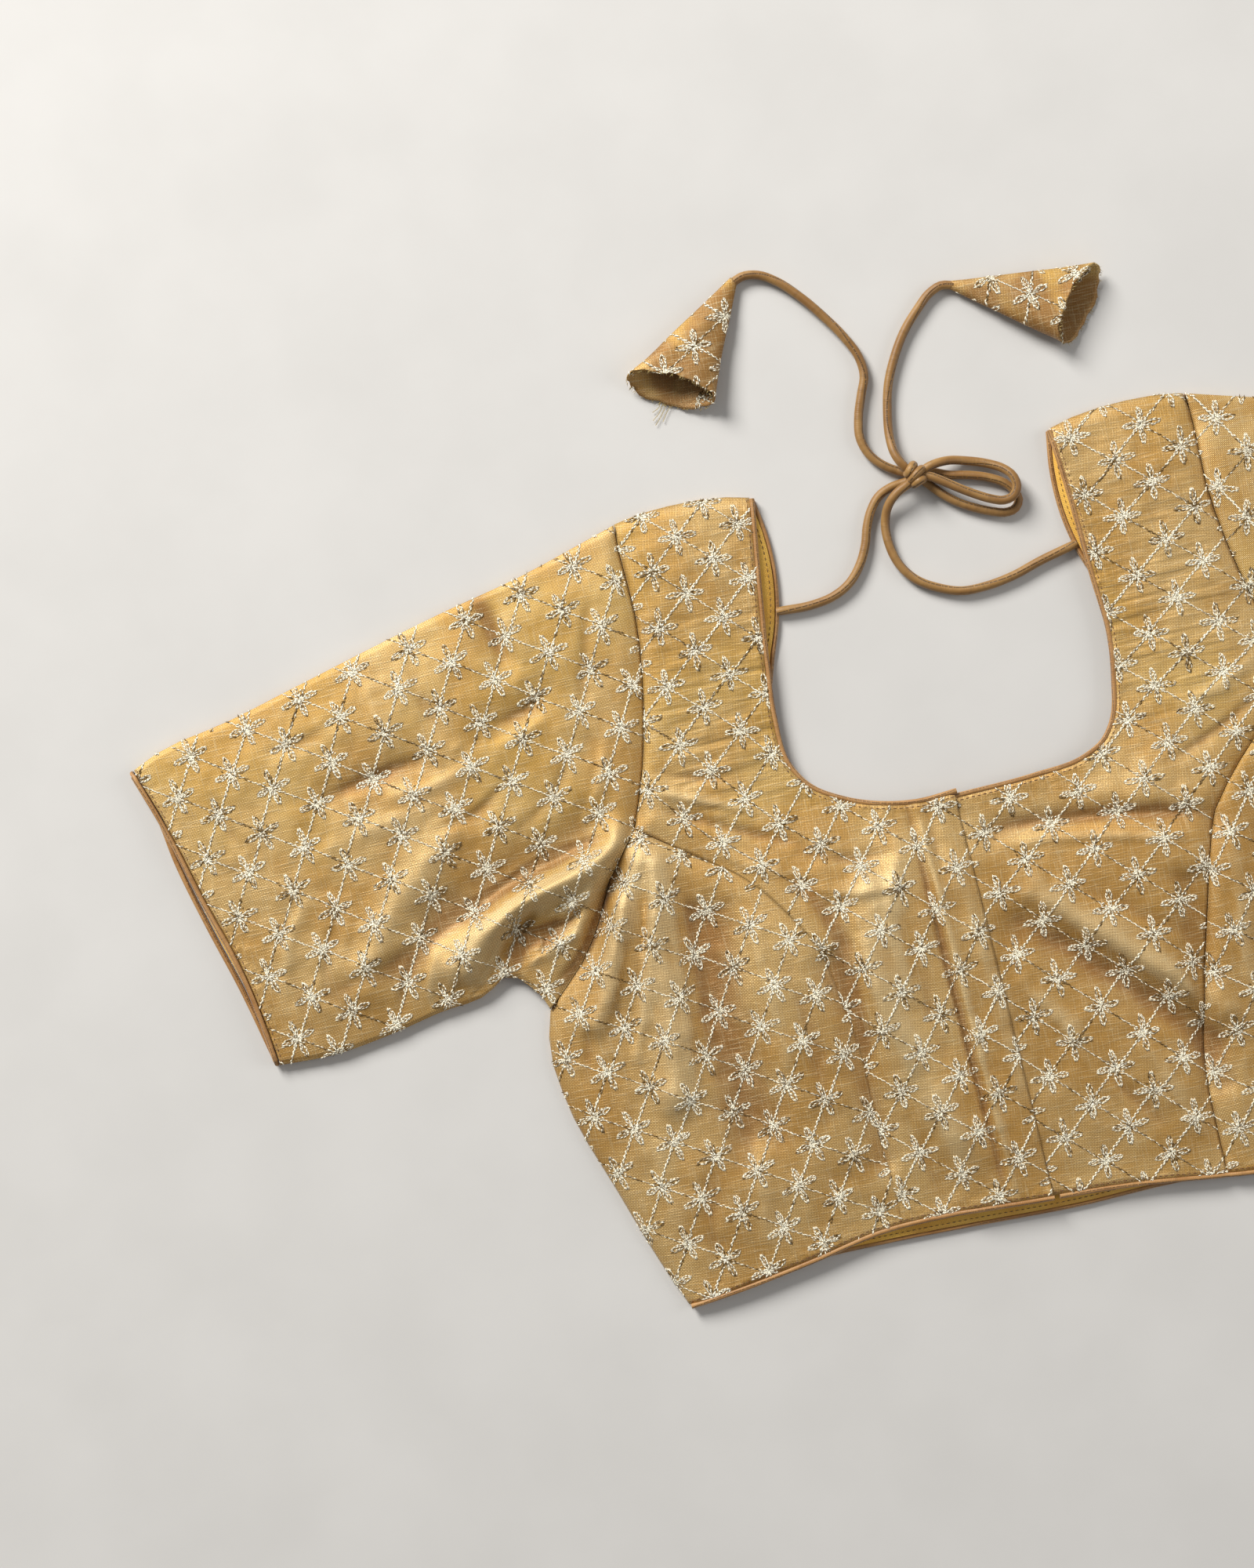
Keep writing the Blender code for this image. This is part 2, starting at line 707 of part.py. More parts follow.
def sleeve_surface(side):
    """A function (u, w, back) to XY: u from armhole to cuff, w from the top edge to the under edge."""
    top = trimmed(smooth(place(SLEEVE_TOP, side), FINE), SEAM_GAP, PIPING_ROOM)
    under = trimmed(smooth(place(SLEEVE_UNDER, side), FINE), SEAM_GAP, PIPING_ROOM)
    hole = armhole(side)
    ahead = np.gradient(hole, axis=0)
    outwards = side * np.stack([-ahead[:, 1], ahead[:, 0]], 1) / np.linalg.norm(ahead, axis=1)[:, None]
    hole = hole + outwards * PANEL_SEAM
    hole[0], hole[-1] = top[0], under[0]
    axis = top[-1] - top[0]
    axis = axis / np.linalg.norm(axis)
    cuffs = []
    for rows in (CUFF_FRONT, CUFF_BACK):
        cuff = smooth(place(rows, side), FINE) - axis * PIPING_ROOM
        cuff[0], cuff[-1] = top[-1], under[-1]
        cuffs.append(cuff)

    def surface(u, w, back):
        edges = (1 - w)[:, None] * at(top, u) + w[:, None] * at(under, u)
        ends = (1 - u) * at(hole, w) + u * at(cuffs[back], w)
        corners = (1 - w)[:, None] * ((1 - u) * top[0] + u * top[-1])
        corners = corners + w[:, None] * ((1 - u) * under[0] + u * under[-1])
        return edges + ends - corners

    return surface


def sleeve_ring(surface, u, depth):
    """One ring of the sleeve, at a depth inside its outer face: roll, top layer, roll, bottom layer."""
    (head,), (foot,) = surface(u, np.array([0.0]), 0), surface(u, np.array([1.0]), 0)
    width = np.linalg.norm(foot - head)
    radius = SLEEVE_ROLL - depth
    reach = (SLEEVE_ROLL - radius * np.cos(ROLL_ANGLES)) / width
    roll_z = SLEEVE_ROLL + radius * np.sin(ROLL_ANGLES)
    first = SLEEVE_ROLL / width
    stops = armhole_stops()[1:-1]
    layers = []
    for w, z, back in (
        (reach, roll_z, ROLL_ANGLES < 0),
        (stops, None, np.zeros(len(stops), bool)),
        (1 - reach[::-1], roll_z[::-1], ROLL_ANGLES[::-1] < 0),
        (np.clip(STOPS_BACK[1:-1][::-1], first, 1 - first), depth, np.ones(len(STOPS_BACK) - 2, bool)),
    ):
        xy = np.where(back[:, None], surface(u, w, 1), surface(u, w, 0))
        if z is None:
            z = front_height(xy) + WALL - depth
        layers.append(np.column_stack([xy, np.broadcast_to(z, len(xy))]))
    return np.concatenate(layers)


def bridge(bm, rings):
    """Faces between each ring of vertices and the next."""
    for near, far in zip(rings, rings[1:]):
        for i in range(len(near)):
            j = (i + 1) % len(near)
            bm.faces.new((near[i], near[j], far[j], far[i]))


def make_sleeve(side):
    name = "left" if side == LEFT else "right"
    surface = sleeve_surface(side)
    stations = np.linspace(0, 1, SLEEVE_STATIONS + 1)
    bm = bmesh.new()
    outer = [[bm.verts.new(p) for p in sleeve_ring(surface, u, 0.0)] for u in stations]
    inner = [[bm.verts.new(p) for p in sleeve_ring(surface, u, WALL)] for u in stations]
    bridge(bm, [*outer, *inner[::-1], outer[0]])
    finish_mesh("sleeve_" + name, bm, "tissue_cloth")
    cuff_ring(side)
    cuff_lining(side, surface)


def cuff_ring(side):
    """Piping round the cuff: along the top layer's edge, round the under edge and back underneath."""
    name = "left" if side == LEFT else "right"
    front, back = (smooth(place(rows, side), MESH_STEP) for rows in (CUFF_FRONT, CUFF_BACK))
    inset = PIPING / 2 + PIPING_EDGE
    axis = place(SLEEVE_TOP, side)
    axis = (axis[-1] - axis[0]) / np.linalg.norm(axis[-1] - axis[0])
    along = (front[-1] - front[0]) / np.linalg.norm(front[-1] - front[0])
    top, bottom = (trimmed(line, SLEEVE_ROLL, SLEEVE_ROLL) - axis * inset for line in (front, back))
    upper = np.column_stack([top, np.maximum(front_height(top) + WALL / 2, PIPING_CROSSING)])
    lower = np.column_stack([bottom, np.full(len(bottom), PIPING_LOW)])[::-1]
    turn = np.array([*(along * SLEEVE_ROLL * CUFF_TURN), 0])
    far = (upper[-1] + lower[0]) / 2 + turn
    near = (upper[0] + lower[-1]) / 2 - turn
    ring = np.concatenate([upper, [far], lower, [near]])
    tube("cuff_piping_" + name, ring, PIPING, "piping_cloth", cyclic=True)


def cuff_lining(side, surface):
    """A strip of lining on the sleeve's bottom layer, just inside the cuff."""
    name = "left" if side == LEFT else "right"
    w = np.linspace(*CUFF_LINING_SHARES, 12)
    length = lengths(smooth(place(SLEEVE_TOP, side), FINE))[-1]
    outer = surface(0.999, w, 1)
    inner = surface(1 - CUFF_LINING_DEPTH / length, w, 1)
    ring = np.concatenate([outer, inner[::-1]])
    cloth_panel("cuff_lining_" + name, ring, flat_at(LINING_Z), LINING_WALL, FLAT_STEP, "lining_cloth")


# Ties

def make_knot():
    width, depth, height = KNOT["size"]
    (middle,) = place([KNOT["at"]])
    bm = bmesh.new()
    bmesh.ops.create_uvsphere(bm, u_segments=14, v_segments=9, radius=0.5)
    bmesh.ops.scale(bm, verts=bm.verts, vec=(width, depth, height))
    turned = bm.verts[:]
    angle = KNOT["turn"]
    for vert in turned:
        x, y, z = vert.co
        vert.co = (
            middle[0] + x * math.cos(angle) - y * math.sin(angle),
            middle[1] + x * math.sin(angle) + y * math.cos(angle),
            z + height / 2 + PIPING_REST,
        )
    finish_mesh("tie_knot", bm, "tie_cloth")


def make_ties():
    for name, rows in TIES.items():
        heights = np.array(rows)[:, 2:]
        route = smooth(np.hstack([place(rows), heights]), CORD_STEP)
        tube(name, route, CORD, "tie_cloth", sides=8)


def make_tassel(name, rows):
    """A flattened cone of cloth, closed round the tie at its tip and open at its mouth."""
    tip, first, second = place(rows)
    middle = (first + second) / 2
    axis = (middle - tip) / np.linalg.norm(middle - tip)
    across = np.array([-axis[1], axis[0]]) * TASSEL_TIP_WIDTH / 2
    mouth = (first - second) / 2
    mouth = mouth if mouth @ across > 0 else -mouth
    angles = np.linspace(0, 2 * math.pi, TASSEL_SIDES, endpoint=False)

    def ring(share, depth):
        half = across + (mouth - across) * share
        half = half * (1 - depth / np.linalg.norm(half))
        height = TASSEL_HEIGHT[0] + (TASSEL_HEIGHT[1] - TASSEL_HEIGHT[0]) * share
        bulge = np.sign(np.sin(angles)) * np.abs(np.sin(angles)) ** 0.75
        slant = -TASSEL_RIM_SLANT * np.sin(angles) * share**4
        xy = tip + (middle - tip) * share + np.cos(angles)[:, None] * half + slant[:, None] * axis
        return np.column_stack([xy, height / 2 + (height / 2 - depth) * bulge])

    bm = bmesh.new()
    outer = [[bm.verts.new(p) for p in ring(share, 0.0)] for share in np.linspace(0, 1, 7)]
    inner = [[bm.verts.new(p) for p in ring(share, TASSEL_WALL)] for share in np.linspace(0.16, 1, 6)]
    bridge(bm, [*outer, *inner[::-1]])
    bm.faces.new(outer[0][::-1])
    bm.faces.new(inner[0])
    finish_mesh(name, bm, "tissue_cloth")


def main():
    for old in list(bpy.data.objects):
        bpy.data.objects.remove(old)
    for side, lower_face, edge in ((LEFT, lapped_height, LAP_EDGE), (RIGHT, front_height, UNDERLAP_EDGE)):
        make_front(side, lower_face, edge)
        front_piping(side, lower_face)
        make_sleeve(side)
    make_back()
    make_knot()
    make_ties()
    for name, rows in TASSELS.items():
        make_tassel(name, rows)


main()
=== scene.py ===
"""The looks of the square neck blouse: tissue cloth, zari stars, piping, lining, ties and cones."""

import math

import bmesh
import bpy
import numpy as np
from mathutils import Matrix, Vector
from mathutils.bvhtree import BVHTree


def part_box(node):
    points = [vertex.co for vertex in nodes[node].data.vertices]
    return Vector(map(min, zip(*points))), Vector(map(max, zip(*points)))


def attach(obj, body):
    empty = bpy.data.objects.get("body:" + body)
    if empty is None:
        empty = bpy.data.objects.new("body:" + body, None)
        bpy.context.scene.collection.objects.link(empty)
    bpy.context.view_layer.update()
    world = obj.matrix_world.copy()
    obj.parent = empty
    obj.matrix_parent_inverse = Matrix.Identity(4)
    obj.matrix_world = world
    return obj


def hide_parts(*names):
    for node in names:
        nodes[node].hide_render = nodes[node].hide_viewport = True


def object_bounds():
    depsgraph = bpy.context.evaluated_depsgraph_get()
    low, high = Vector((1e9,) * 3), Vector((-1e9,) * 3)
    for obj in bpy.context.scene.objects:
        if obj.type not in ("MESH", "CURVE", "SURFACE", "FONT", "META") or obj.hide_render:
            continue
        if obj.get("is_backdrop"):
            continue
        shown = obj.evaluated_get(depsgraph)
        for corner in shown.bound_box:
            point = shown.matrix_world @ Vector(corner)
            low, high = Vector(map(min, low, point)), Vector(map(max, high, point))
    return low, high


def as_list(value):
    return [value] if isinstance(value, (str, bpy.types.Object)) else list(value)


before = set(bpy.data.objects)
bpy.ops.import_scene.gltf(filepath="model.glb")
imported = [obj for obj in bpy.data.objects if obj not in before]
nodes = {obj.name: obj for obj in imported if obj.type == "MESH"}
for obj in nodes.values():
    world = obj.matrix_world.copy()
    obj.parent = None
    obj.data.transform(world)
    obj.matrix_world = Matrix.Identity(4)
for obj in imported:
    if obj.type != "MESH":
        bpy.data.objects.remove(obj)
cad_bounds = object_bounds()

# Sizes, in metres, as in the part's own source
LEFT, RIGHT = -1, 1
BOTH = (LEFT, RIGHT)
SHOULDER_Y = 0.19111
WALL = 0.0015
PIPING = 0.0026
PIPING_EDGE = 0.0002
PIPING_LOW = PIPING / 2 + 0.0001
PIPING_CROSSING = PIPING_LOW + PIPING + 0.0003
FRONT_REST = 0.0039
EDGE_REST = 0.0018
EDGE_ROLL = 0.004
LOFT, LOFT_REACH = 0.0040, 0.020
FREE_SHARE, FREE_REACH = 0.25, 0.030
BUST_HEIGHT = 0.0085
BUST_ACROSS, BUST_DOWN = 0.098, 0.236
BUST_REACH = (0.062, 0.078)
SEAM_DIP, SEAM_REACH = 0.0016, 0.005
CLOSED_FADE, FREE_FADE, FREE_LEAST = 0.010, 0.016, 0.35
LEAST_RISE = 0.0008
LAP_STEP = 0.0021
LAP_FADE, LAP_MARGIN, LAP_START = 0.014, 0.012, 0.150
LAP_TOP, LAP_FOOT = 0.164, 0.374
UNDERLAP_EDGE = {"neck": -0.0340, "hem": -0.0320}
LAP_EDGE = {"neck": -0.0113, "hem": -0.0080}
CORD = 0.0045
LOW = CORD / 2 + 0.0002
HIGH = LOW + CORD + 0.0005
MID = (LOW + HIGH) / 2
STEP = 0.004

# Sizes of what the solids leave out
FINE = 0.003
TISSUE, LINING_CLOTH, BACK_CLOTH = 0.0006, 0.0008, 0.0014
RIPPLES = ((0.00022, 3, 0.014, 0.034), (0.00010, 4, 0.006, 0.012))
CREASE_CLEAR = 0.006
CREASE_FLANKS, CREASE_ENDS = (0.6, 0.45), 0.6
PRINCESS_FADE, PRINCESS_FADED = (0.10, 0.15), 0.65
ARMHOLE_DIP, ARMHOLE_DIP_REACH, ARMHOLE_DIP_START = 0.0034, 0.0045, (0.52, 0.12)
EDGE_TUCK, EDGE_TUCK_REACH = 0.0013, 0.0016
SEAM_GROOVE, SEAM_GROOVE_REACH = 0.0003, 0.0014
PRINCESS_GROOVE, PRINCESS_GROOVE_REACH = 0.0006, 0.0018
ARMHOLE_GROOVE, ARMHOLE_GROOVE_REACH = 0.0008, 0.0016
LAP_PRESS, LAP_PRESS_REACH, LAP_PRESS_FADE, LAP_PRESS_FOOT = 0.0012, 0.0045, 0.006, 0.004
RELIEF_OF_FOLDS, RELIEF_OF_CREASES = 0.006, 0.0022
PUCKER_REACH = 0.010
NEAR_PIPING = (PIPING + PIPING_EDGE - 0.0002, 0.0041)
HEM_END, SHORT_END = 0.1955, 0.0005
LINING_RISE, LINING_RISE_FROM, LINING_RISE_REACH = 0.0007, 0.005, 0.006
LINK = 0.0023
SEWN_LENGTH, SEWN_PITCH, SEWN_WIDTH = 0.0023, 0.0029, 0.0005
BESIDE_PIPING, CUFF_MARGIN, INSIDE_PIPING, INSIDE_CUFF = 0.0040, 0.0006, 0.0045, 0.0050
STAR_MARGIN, STAR_JITTER = 0.024, 0.0006

# Places on the cut: (across, down)
SHOULDER = ((0.0745, 0.0), (0.094, -0.0045), (0.112, -0.0055), (0.129, -0.0053), (0.146, -0.0027))
ARMHOLE = (
    (0.146, -0.0027), (0.1465, 0.010), (0.1458, 0.046), (0.151, 0.085), (0.161, 0.124), (0.170, 0.1475),
    (0.180, 0.160), (0.189, 0.1715), (0.197, 0.188), (0.208, 0.204), (0.231, 0.226),
)
SIDE_SEAM = (
    (0.231, 0.226), (0.2355, 0.243), (0.2335, 0.273), (0.2195, 0.3195), (0.203, 0.3685), (0.1955, 0.387),
)
SLEEVE_TOP = (
    (0.146, -0.0027), (0.169, 0.004), (0.194, 0.011), (0.241, 0.021), (0.322, 0.041), (0.356, 0.0495),
    (0.394, 0.057), (0.4095, 0.064),
)
SLEEVE_UNDER = (
    (0.231, 0.226), (0.235, 0.2165), (0.241, 0.210), (0.246, 0.2050), (0.251, 0.2052), (0.258, 0.2105),
    (0.285, 0.2150), (0.310, 0.220), (0.341, 0.2238), (0.3713, 0.2225),
)
CUFF_FRONT = (
    (0.4095, 0.064), (0.399, 0.096), (0.389, 0.1345), (0.379, 0.170), (0.373, 0.2055), (0.3713, 0.2225),
)
CUFF_BACK = (
    (0.4095, 0.064), (0.4015, 0.089), (0.398, 0.112), (0.3895, 0.148), (0.3805, 0.181), (0.3713, 0.2225),
)
HEM_FRONT = (
    (-0.1955, 0.387), (-0.176, 0.385), (-0.131, 0.3783), (-0.094, 0.3718), (-0.060, 0.3713),
    (-0.020, 0.3736), (0.033, 0.3771), (0.092, 0.3845), (0.150, 0.3880), (0.1955, 0.387),
)
HEM_BACK = (
    (-0.1955, 0.387), (-0.160, 0.3815), (-0.127, 0.3777), (-0.095, 0.3777), (-0.052, 0.379),
    (0.005, 0.3812), (0.050, 0.3806), (0.100, 0.3830), (0.150, 0.3865), (0.1955, 0.387),
)
NECK_FRONT = {
    LEFT: (
        (0.0745, 0.0), (0.081, 0.046), (0.0858, 0.084), (0.088, 0.108), (0.086, 0.134), (0.0800, 0.1440),
        (0.064, 0.155), (0.044, 0.162), (0.0285, 0.1642), (0.0113, 0.1634),
    ),
    RIGHT: (
        (0.0745, 0.0), (0.0770, 0.035), (0.0790, 0.078), (0.0806, 0.104), (0.0777, 0.128),
        (0.0722, 0.148), (0.0660, 0.1560), (0.0555, 0.1614), (0.030, 0.1646), (-0.0095, 0.1658),
    ),
}
NECK_BACK = (
    (0.0745, 0.0), (0.0718, 0.0195), (0.0720, 0.041), (0.0755, 0.0605), (0.084, 0.085), (0.092, 0.115),
    (0.0925, 0.155), (0.078, 0.192), (0.045, 0.212), (0.0, 0.219),
)
PRINCESS = {
    LEFT: (
        (0.170, 0.1475), (0.1427, 0.168), (0.122, 0.184), (0.106, 0.205), (0.0945, 0.226),
        (0.0895, 0.250), (0.0855, 0.280), (0.0855, 0.320), (0.0840, 0.360), (0.0838, 0.371),
    ),
    RIGHT: (
        (0.170, 0.1475), (0.146, 0.167), (0.1256, 0.1868), (0.113, 0.202), (0.1057, 0.220),
        (0.0983, 0.2465), (0.0846, 0.303), (0.0794, 0.334), (0.0792, 0.365), (0.0792, 0.382),
    ),
}

# Main folds, as in the solids, in millimetres: height, width, sides, route of (across, down) points
FOLDS = (
    (7.5, 10, BOTH, ((181, 154), (200, 163), (234, 169), (255, 183), (268, 196))),
    (-4, 11, BOTH, ((192, 142), (225, 152), (255, 162), (278, 172))),
    (-3.5, 7, BOTH, ((236, 181), (251, 205))),
    (2.5, 9, BOTH, ((262, 130), (300, 165), (318, 195))),
    (-2.5, 8, BOTH, ((221, 16), (215, 50))),
    (-2, 8, BOTH, ((204, 74), (228, 83))),
    (-1.8, 10, BOTH, ((270, 91), (313, 97))),
    (5.5, 8.5, BOTH, ((165, 168), (169, 198), (172, 232), (173, 256), (179, 280))),
    (4.5, 7.5, BOTH, ((186, 184), (195, 216), (212, 236))),
    (-5.5, 16, BOTH, ((146, 205), (149, 250), (145, 305))),
    (-3.5, 7.5, BOTH, ((92, 236), (86, 282), (86, 335))),
    (3, 11, (LEFT,), ((60, 205), (66, 262), (50, 330))),
    (-2.2, 8, (RIGHT,), ((5, 188), (60, 194), (112, 207))),
    (-3.2, 11, (RIGHT,), ((6, 237), (45, 272), (84, 315))),
    (3, 10, (RIGHT,), ((16, 222), (60, 262), (92, 300))),
)

# Creases in the cloth, on top of the folds, in millimetres: height, width, route. Each has one steep
# flank and dies out at its ends.
CREASES = {
    LEFT: (
        # left sleeve: the cap and the armhole
        (-1.6, 4.5, ((222, 14), (219, 32), (214, 52))),
        (1.2, 5, ((213, 18), (209, 36), (204, 56))),
        (-1.2, 4, ((198, 72), (208, 77), (228, 82))),
        (1, 4, ((200, 83), (212, 88), (232, 92))),
        (-1, 4.5, ((166, 30), (176, 60), (182, 92))),
        (1, 5, ((175, 100), (182, 122), (196, 142))),
        (-1, 4, ((192, 102), (206, 122), (228, 136))),
        (-1, 5, ((262, 40), (258, 66), (248, 88))),
        (0.9, 6, ((284, 44), (281, 70), (272, 94))),
        # left sleeve: the middle
        (-1.8, 5, ((262, 89), (288, 92), (318, 98))),
        (1.2, 5, ((238, 96), (262, 104), (286, 104))),
        (-1.2, 4.5, ((224, 108), (246, 122), (270, 126))),
        (0.9, 5.5, ((250, 112), (284, 116), (330, 126))),
        (-1, 5, ((300, 60), (322, 68), (346, 70))),
        (0.9, 4.5, ((332, 142), (348, 160), (356, 186))),
        (-0.9, 5, ((318, 150), (332, 172), (338, 198))),
        (-1.2, 4, ((372, 82), (368, 100), (362, 116))),
        (1, 4, ((381, 88), (377, 106), (371, 124))),
        (-1, 3.5, ((353, 176), (350, 196), (350, 214))),
        # left sleeve: the armpit
        (-3.6, 6, ((180, 147.5), (216, 153), (250, 164.5), (284, 175))),
        (3, 5, ((182, 155), (206, 163), (232, 171), (254, 183))),
        (-3, 5, ((214, 184), (232, 187), (248, 196))),
        (1.6, 3.5, ((190, 166), (204, 176), (222, 181))),
        (-2, 9.5, ((274, 178), (306, 187), (340, 196))),
        (-2.2, 3.5, ((200, 178), (216, 186), (236, 192))),
        (1.8, 3.5, ((206, 190), (222, 196), (240, 203))),
        (-1.6, 3, ((226, 172), (236, 186), (243, 203))),
        (1.6, 3.5, ((244, 184), (252, 194), (262, 206))),
        (-1.3, 4, ((262, 180), (270, 196), (273, 210))),
        (1.3, 5, ((276, 178), (284, 194), (290, 212))),
        (-1.2, 4, ((290, 184), (300, 200), (304, 216))),
        (-3.4, 4, ((174, 152), (186, 168), (197, 185), (208, 200), (226, 216))),
        (1.4, 3, ((196, 172), (204, 182), (214, 196))),
        (-1.4, 3, ((214, 176), (224, 190), (232, 204))),
        # left side panel
        (2.6, 4.2, ((168, 156), (180, 176), (190, 198), (204, 220))),
        (2.2, 4.5, ((166, 160), (172, 190), (182, 226), (196, 262))),
        (-1.8, 3.5, ((166, 158), (172, 182), (180, 210))),
        (-1.4, 4, ((184, 190), (194, 222), (206, 246))),
        (-1.2, 4, ((204, 214), (214, 238), (222, 270))),
        (1.4, 5, ((160, 166), (162, 200), (166, 244), (172, 290))),
        (-1.6, 6, ((152, 176), (152, 220), (154, 270))),
        (1.2, 5.5, ((128, 196), (124, 238), (122, 290))),
        (-1.2, 6, ((112, 222), (108, 270), (110, 320))),
        (1, 7, ((142, 300), (148, 336), (152, 372))),
        (-1, 6, ((170, 310), (176, 342), (178, 374))),
        (0.9, 6, ((190, 290), (196, 322), (192, 352))),
        # left centre panel: from the princess point, and across the neck
        (-1.6, 3.5, ((160, 138), (136, 152), (108, 166), (86, 176))),
        (1.4, 3.5, ((158, 132), (134, 142), (106, 154))),
        (-1.2, 3.5, ((156, 122), (134, 130), (110, 138))),
        (1, 4, ((140, 166), (112, 182), (84, 192))),
        (-1.4, 4, ((96, 176), (70, 186), (44, 188))),
        (1.2, 5, ((92, 196), (66, 204), (40, 202))),
        (-2, 5, ((90, 228), (84, 252), (82, 286))),
        (1.6, 6, ((74, 222), (70, 256), (62, 300))),
        (-1.4, 6, ((52, 214), (50, 250), (46, 296))),
        (1, 6, ((60, 306), (52, 334), (50, 362))),
        (-1, 5, ((72, 316), (66, 338), (64, 364))),
        (-2.2, 7, ((104, 182), (90, 205), (84.5, 224), (84.3, 258))),
        (1.8, 6, ((42, 178), (54.8, 213.1), (53.9, 268))),
        (-1.2, 4, ((26.5, 164), (27.5, 188), (27, 210))),
        (1.3, 6, ((21.5, 180), (17, 226), (13, 275), (12.5, 345))),
        # the pressed band of the lap
        (2, 3, ((31.2, 156), (30, 240), (25.5, 386))),
        (-2.6, 2.6, ((36, 156), (34.7, 240), (30.2, 386))),
    ),
    RIGHT: (
        # right centre panel
        (-2.2, 4.5, ((2, 187), (40, 191), (80, 197), (114, 205))),
        (1.4, 4.5, ((4, 196), (42, 200), (78, 208), (104, 214))),
        (-1.4, 7, ((4, 232), (26, 254), (56, 284), (82, 316))),
        (1.8, 6, ((18, 226), (44, 252), (70, 276), (92, 298))),
        (-1.2, 6.5, ((34, 222), (62, 244), (88, 262))),
        (1.4, 6, ((-2, 262), (16, 290), (34, 330))),
        (-1.4, 6, ((20, 300), (36, 326), (56, 352))),
        (1.2, 6, ((50, 306), (62, 332), (70, 360))),
        (-1.4, 3.5, ((162, 140), (138, 156), (112, 168), (88, 176))),
        (1.2, 4, ((158, 128), (132, 142), (104, 150))),
        # right side panel and sleeve
        (1.5, 5.5, ((178, 168), (184, 204), (196, 244))),
        (-1.3, 4.5, ((190, 186), (200, 220), (214, 250))),
        (1.4, 6, ((158, 172), (160, 220), (168, 282))),
        (-1.5, 6, ((140, 190), (138, 240), (142, 300))),
        (1.2, 6, ((118, 210), (112, 260), (108, 316))),
        (-1, 6, ((162, 306), (170, 340), (170, 374))),
        (-1.4, 4.5, ((214, 12), (216, 34), (208, 58))),
        (1.2, 5, ((186, 24), (190, 52), (188, 82))),
        (-1.2, 4.5, ((196, 92), (216, 102), (244, 104))),
        (1, 5.5, ((242, 60), (266, 80), (300, 86))),
        (-1.2, 5, ((296, 104), (326, 112), (352, 128))),
        (1, 5, ((316, 140), (336, 158), (346, 190))),
        (-2.8, 3.8, ((176, 154), (188, 170), (198, 186), (210, 202), (224, 214))),
        (-2.4, 4.8, ((188, 144), (218, 150), (250, 164), (276, 182))),
        (2, 4.5, ((184, 156), (208, 164), (236, 176), (256, 194))),
        (-2, 3.5, ((198, 174), (218, 188), (238, 198))),
        (1.6, 3.5, ((210, 192), (226, 200), (238, 208))),
        (-1.4, 4, ((258, 178), (270, 194), (278, 212))),
        (1.3, 5, ((286, 176), (296, 196), (300, 214))),
    ),
}

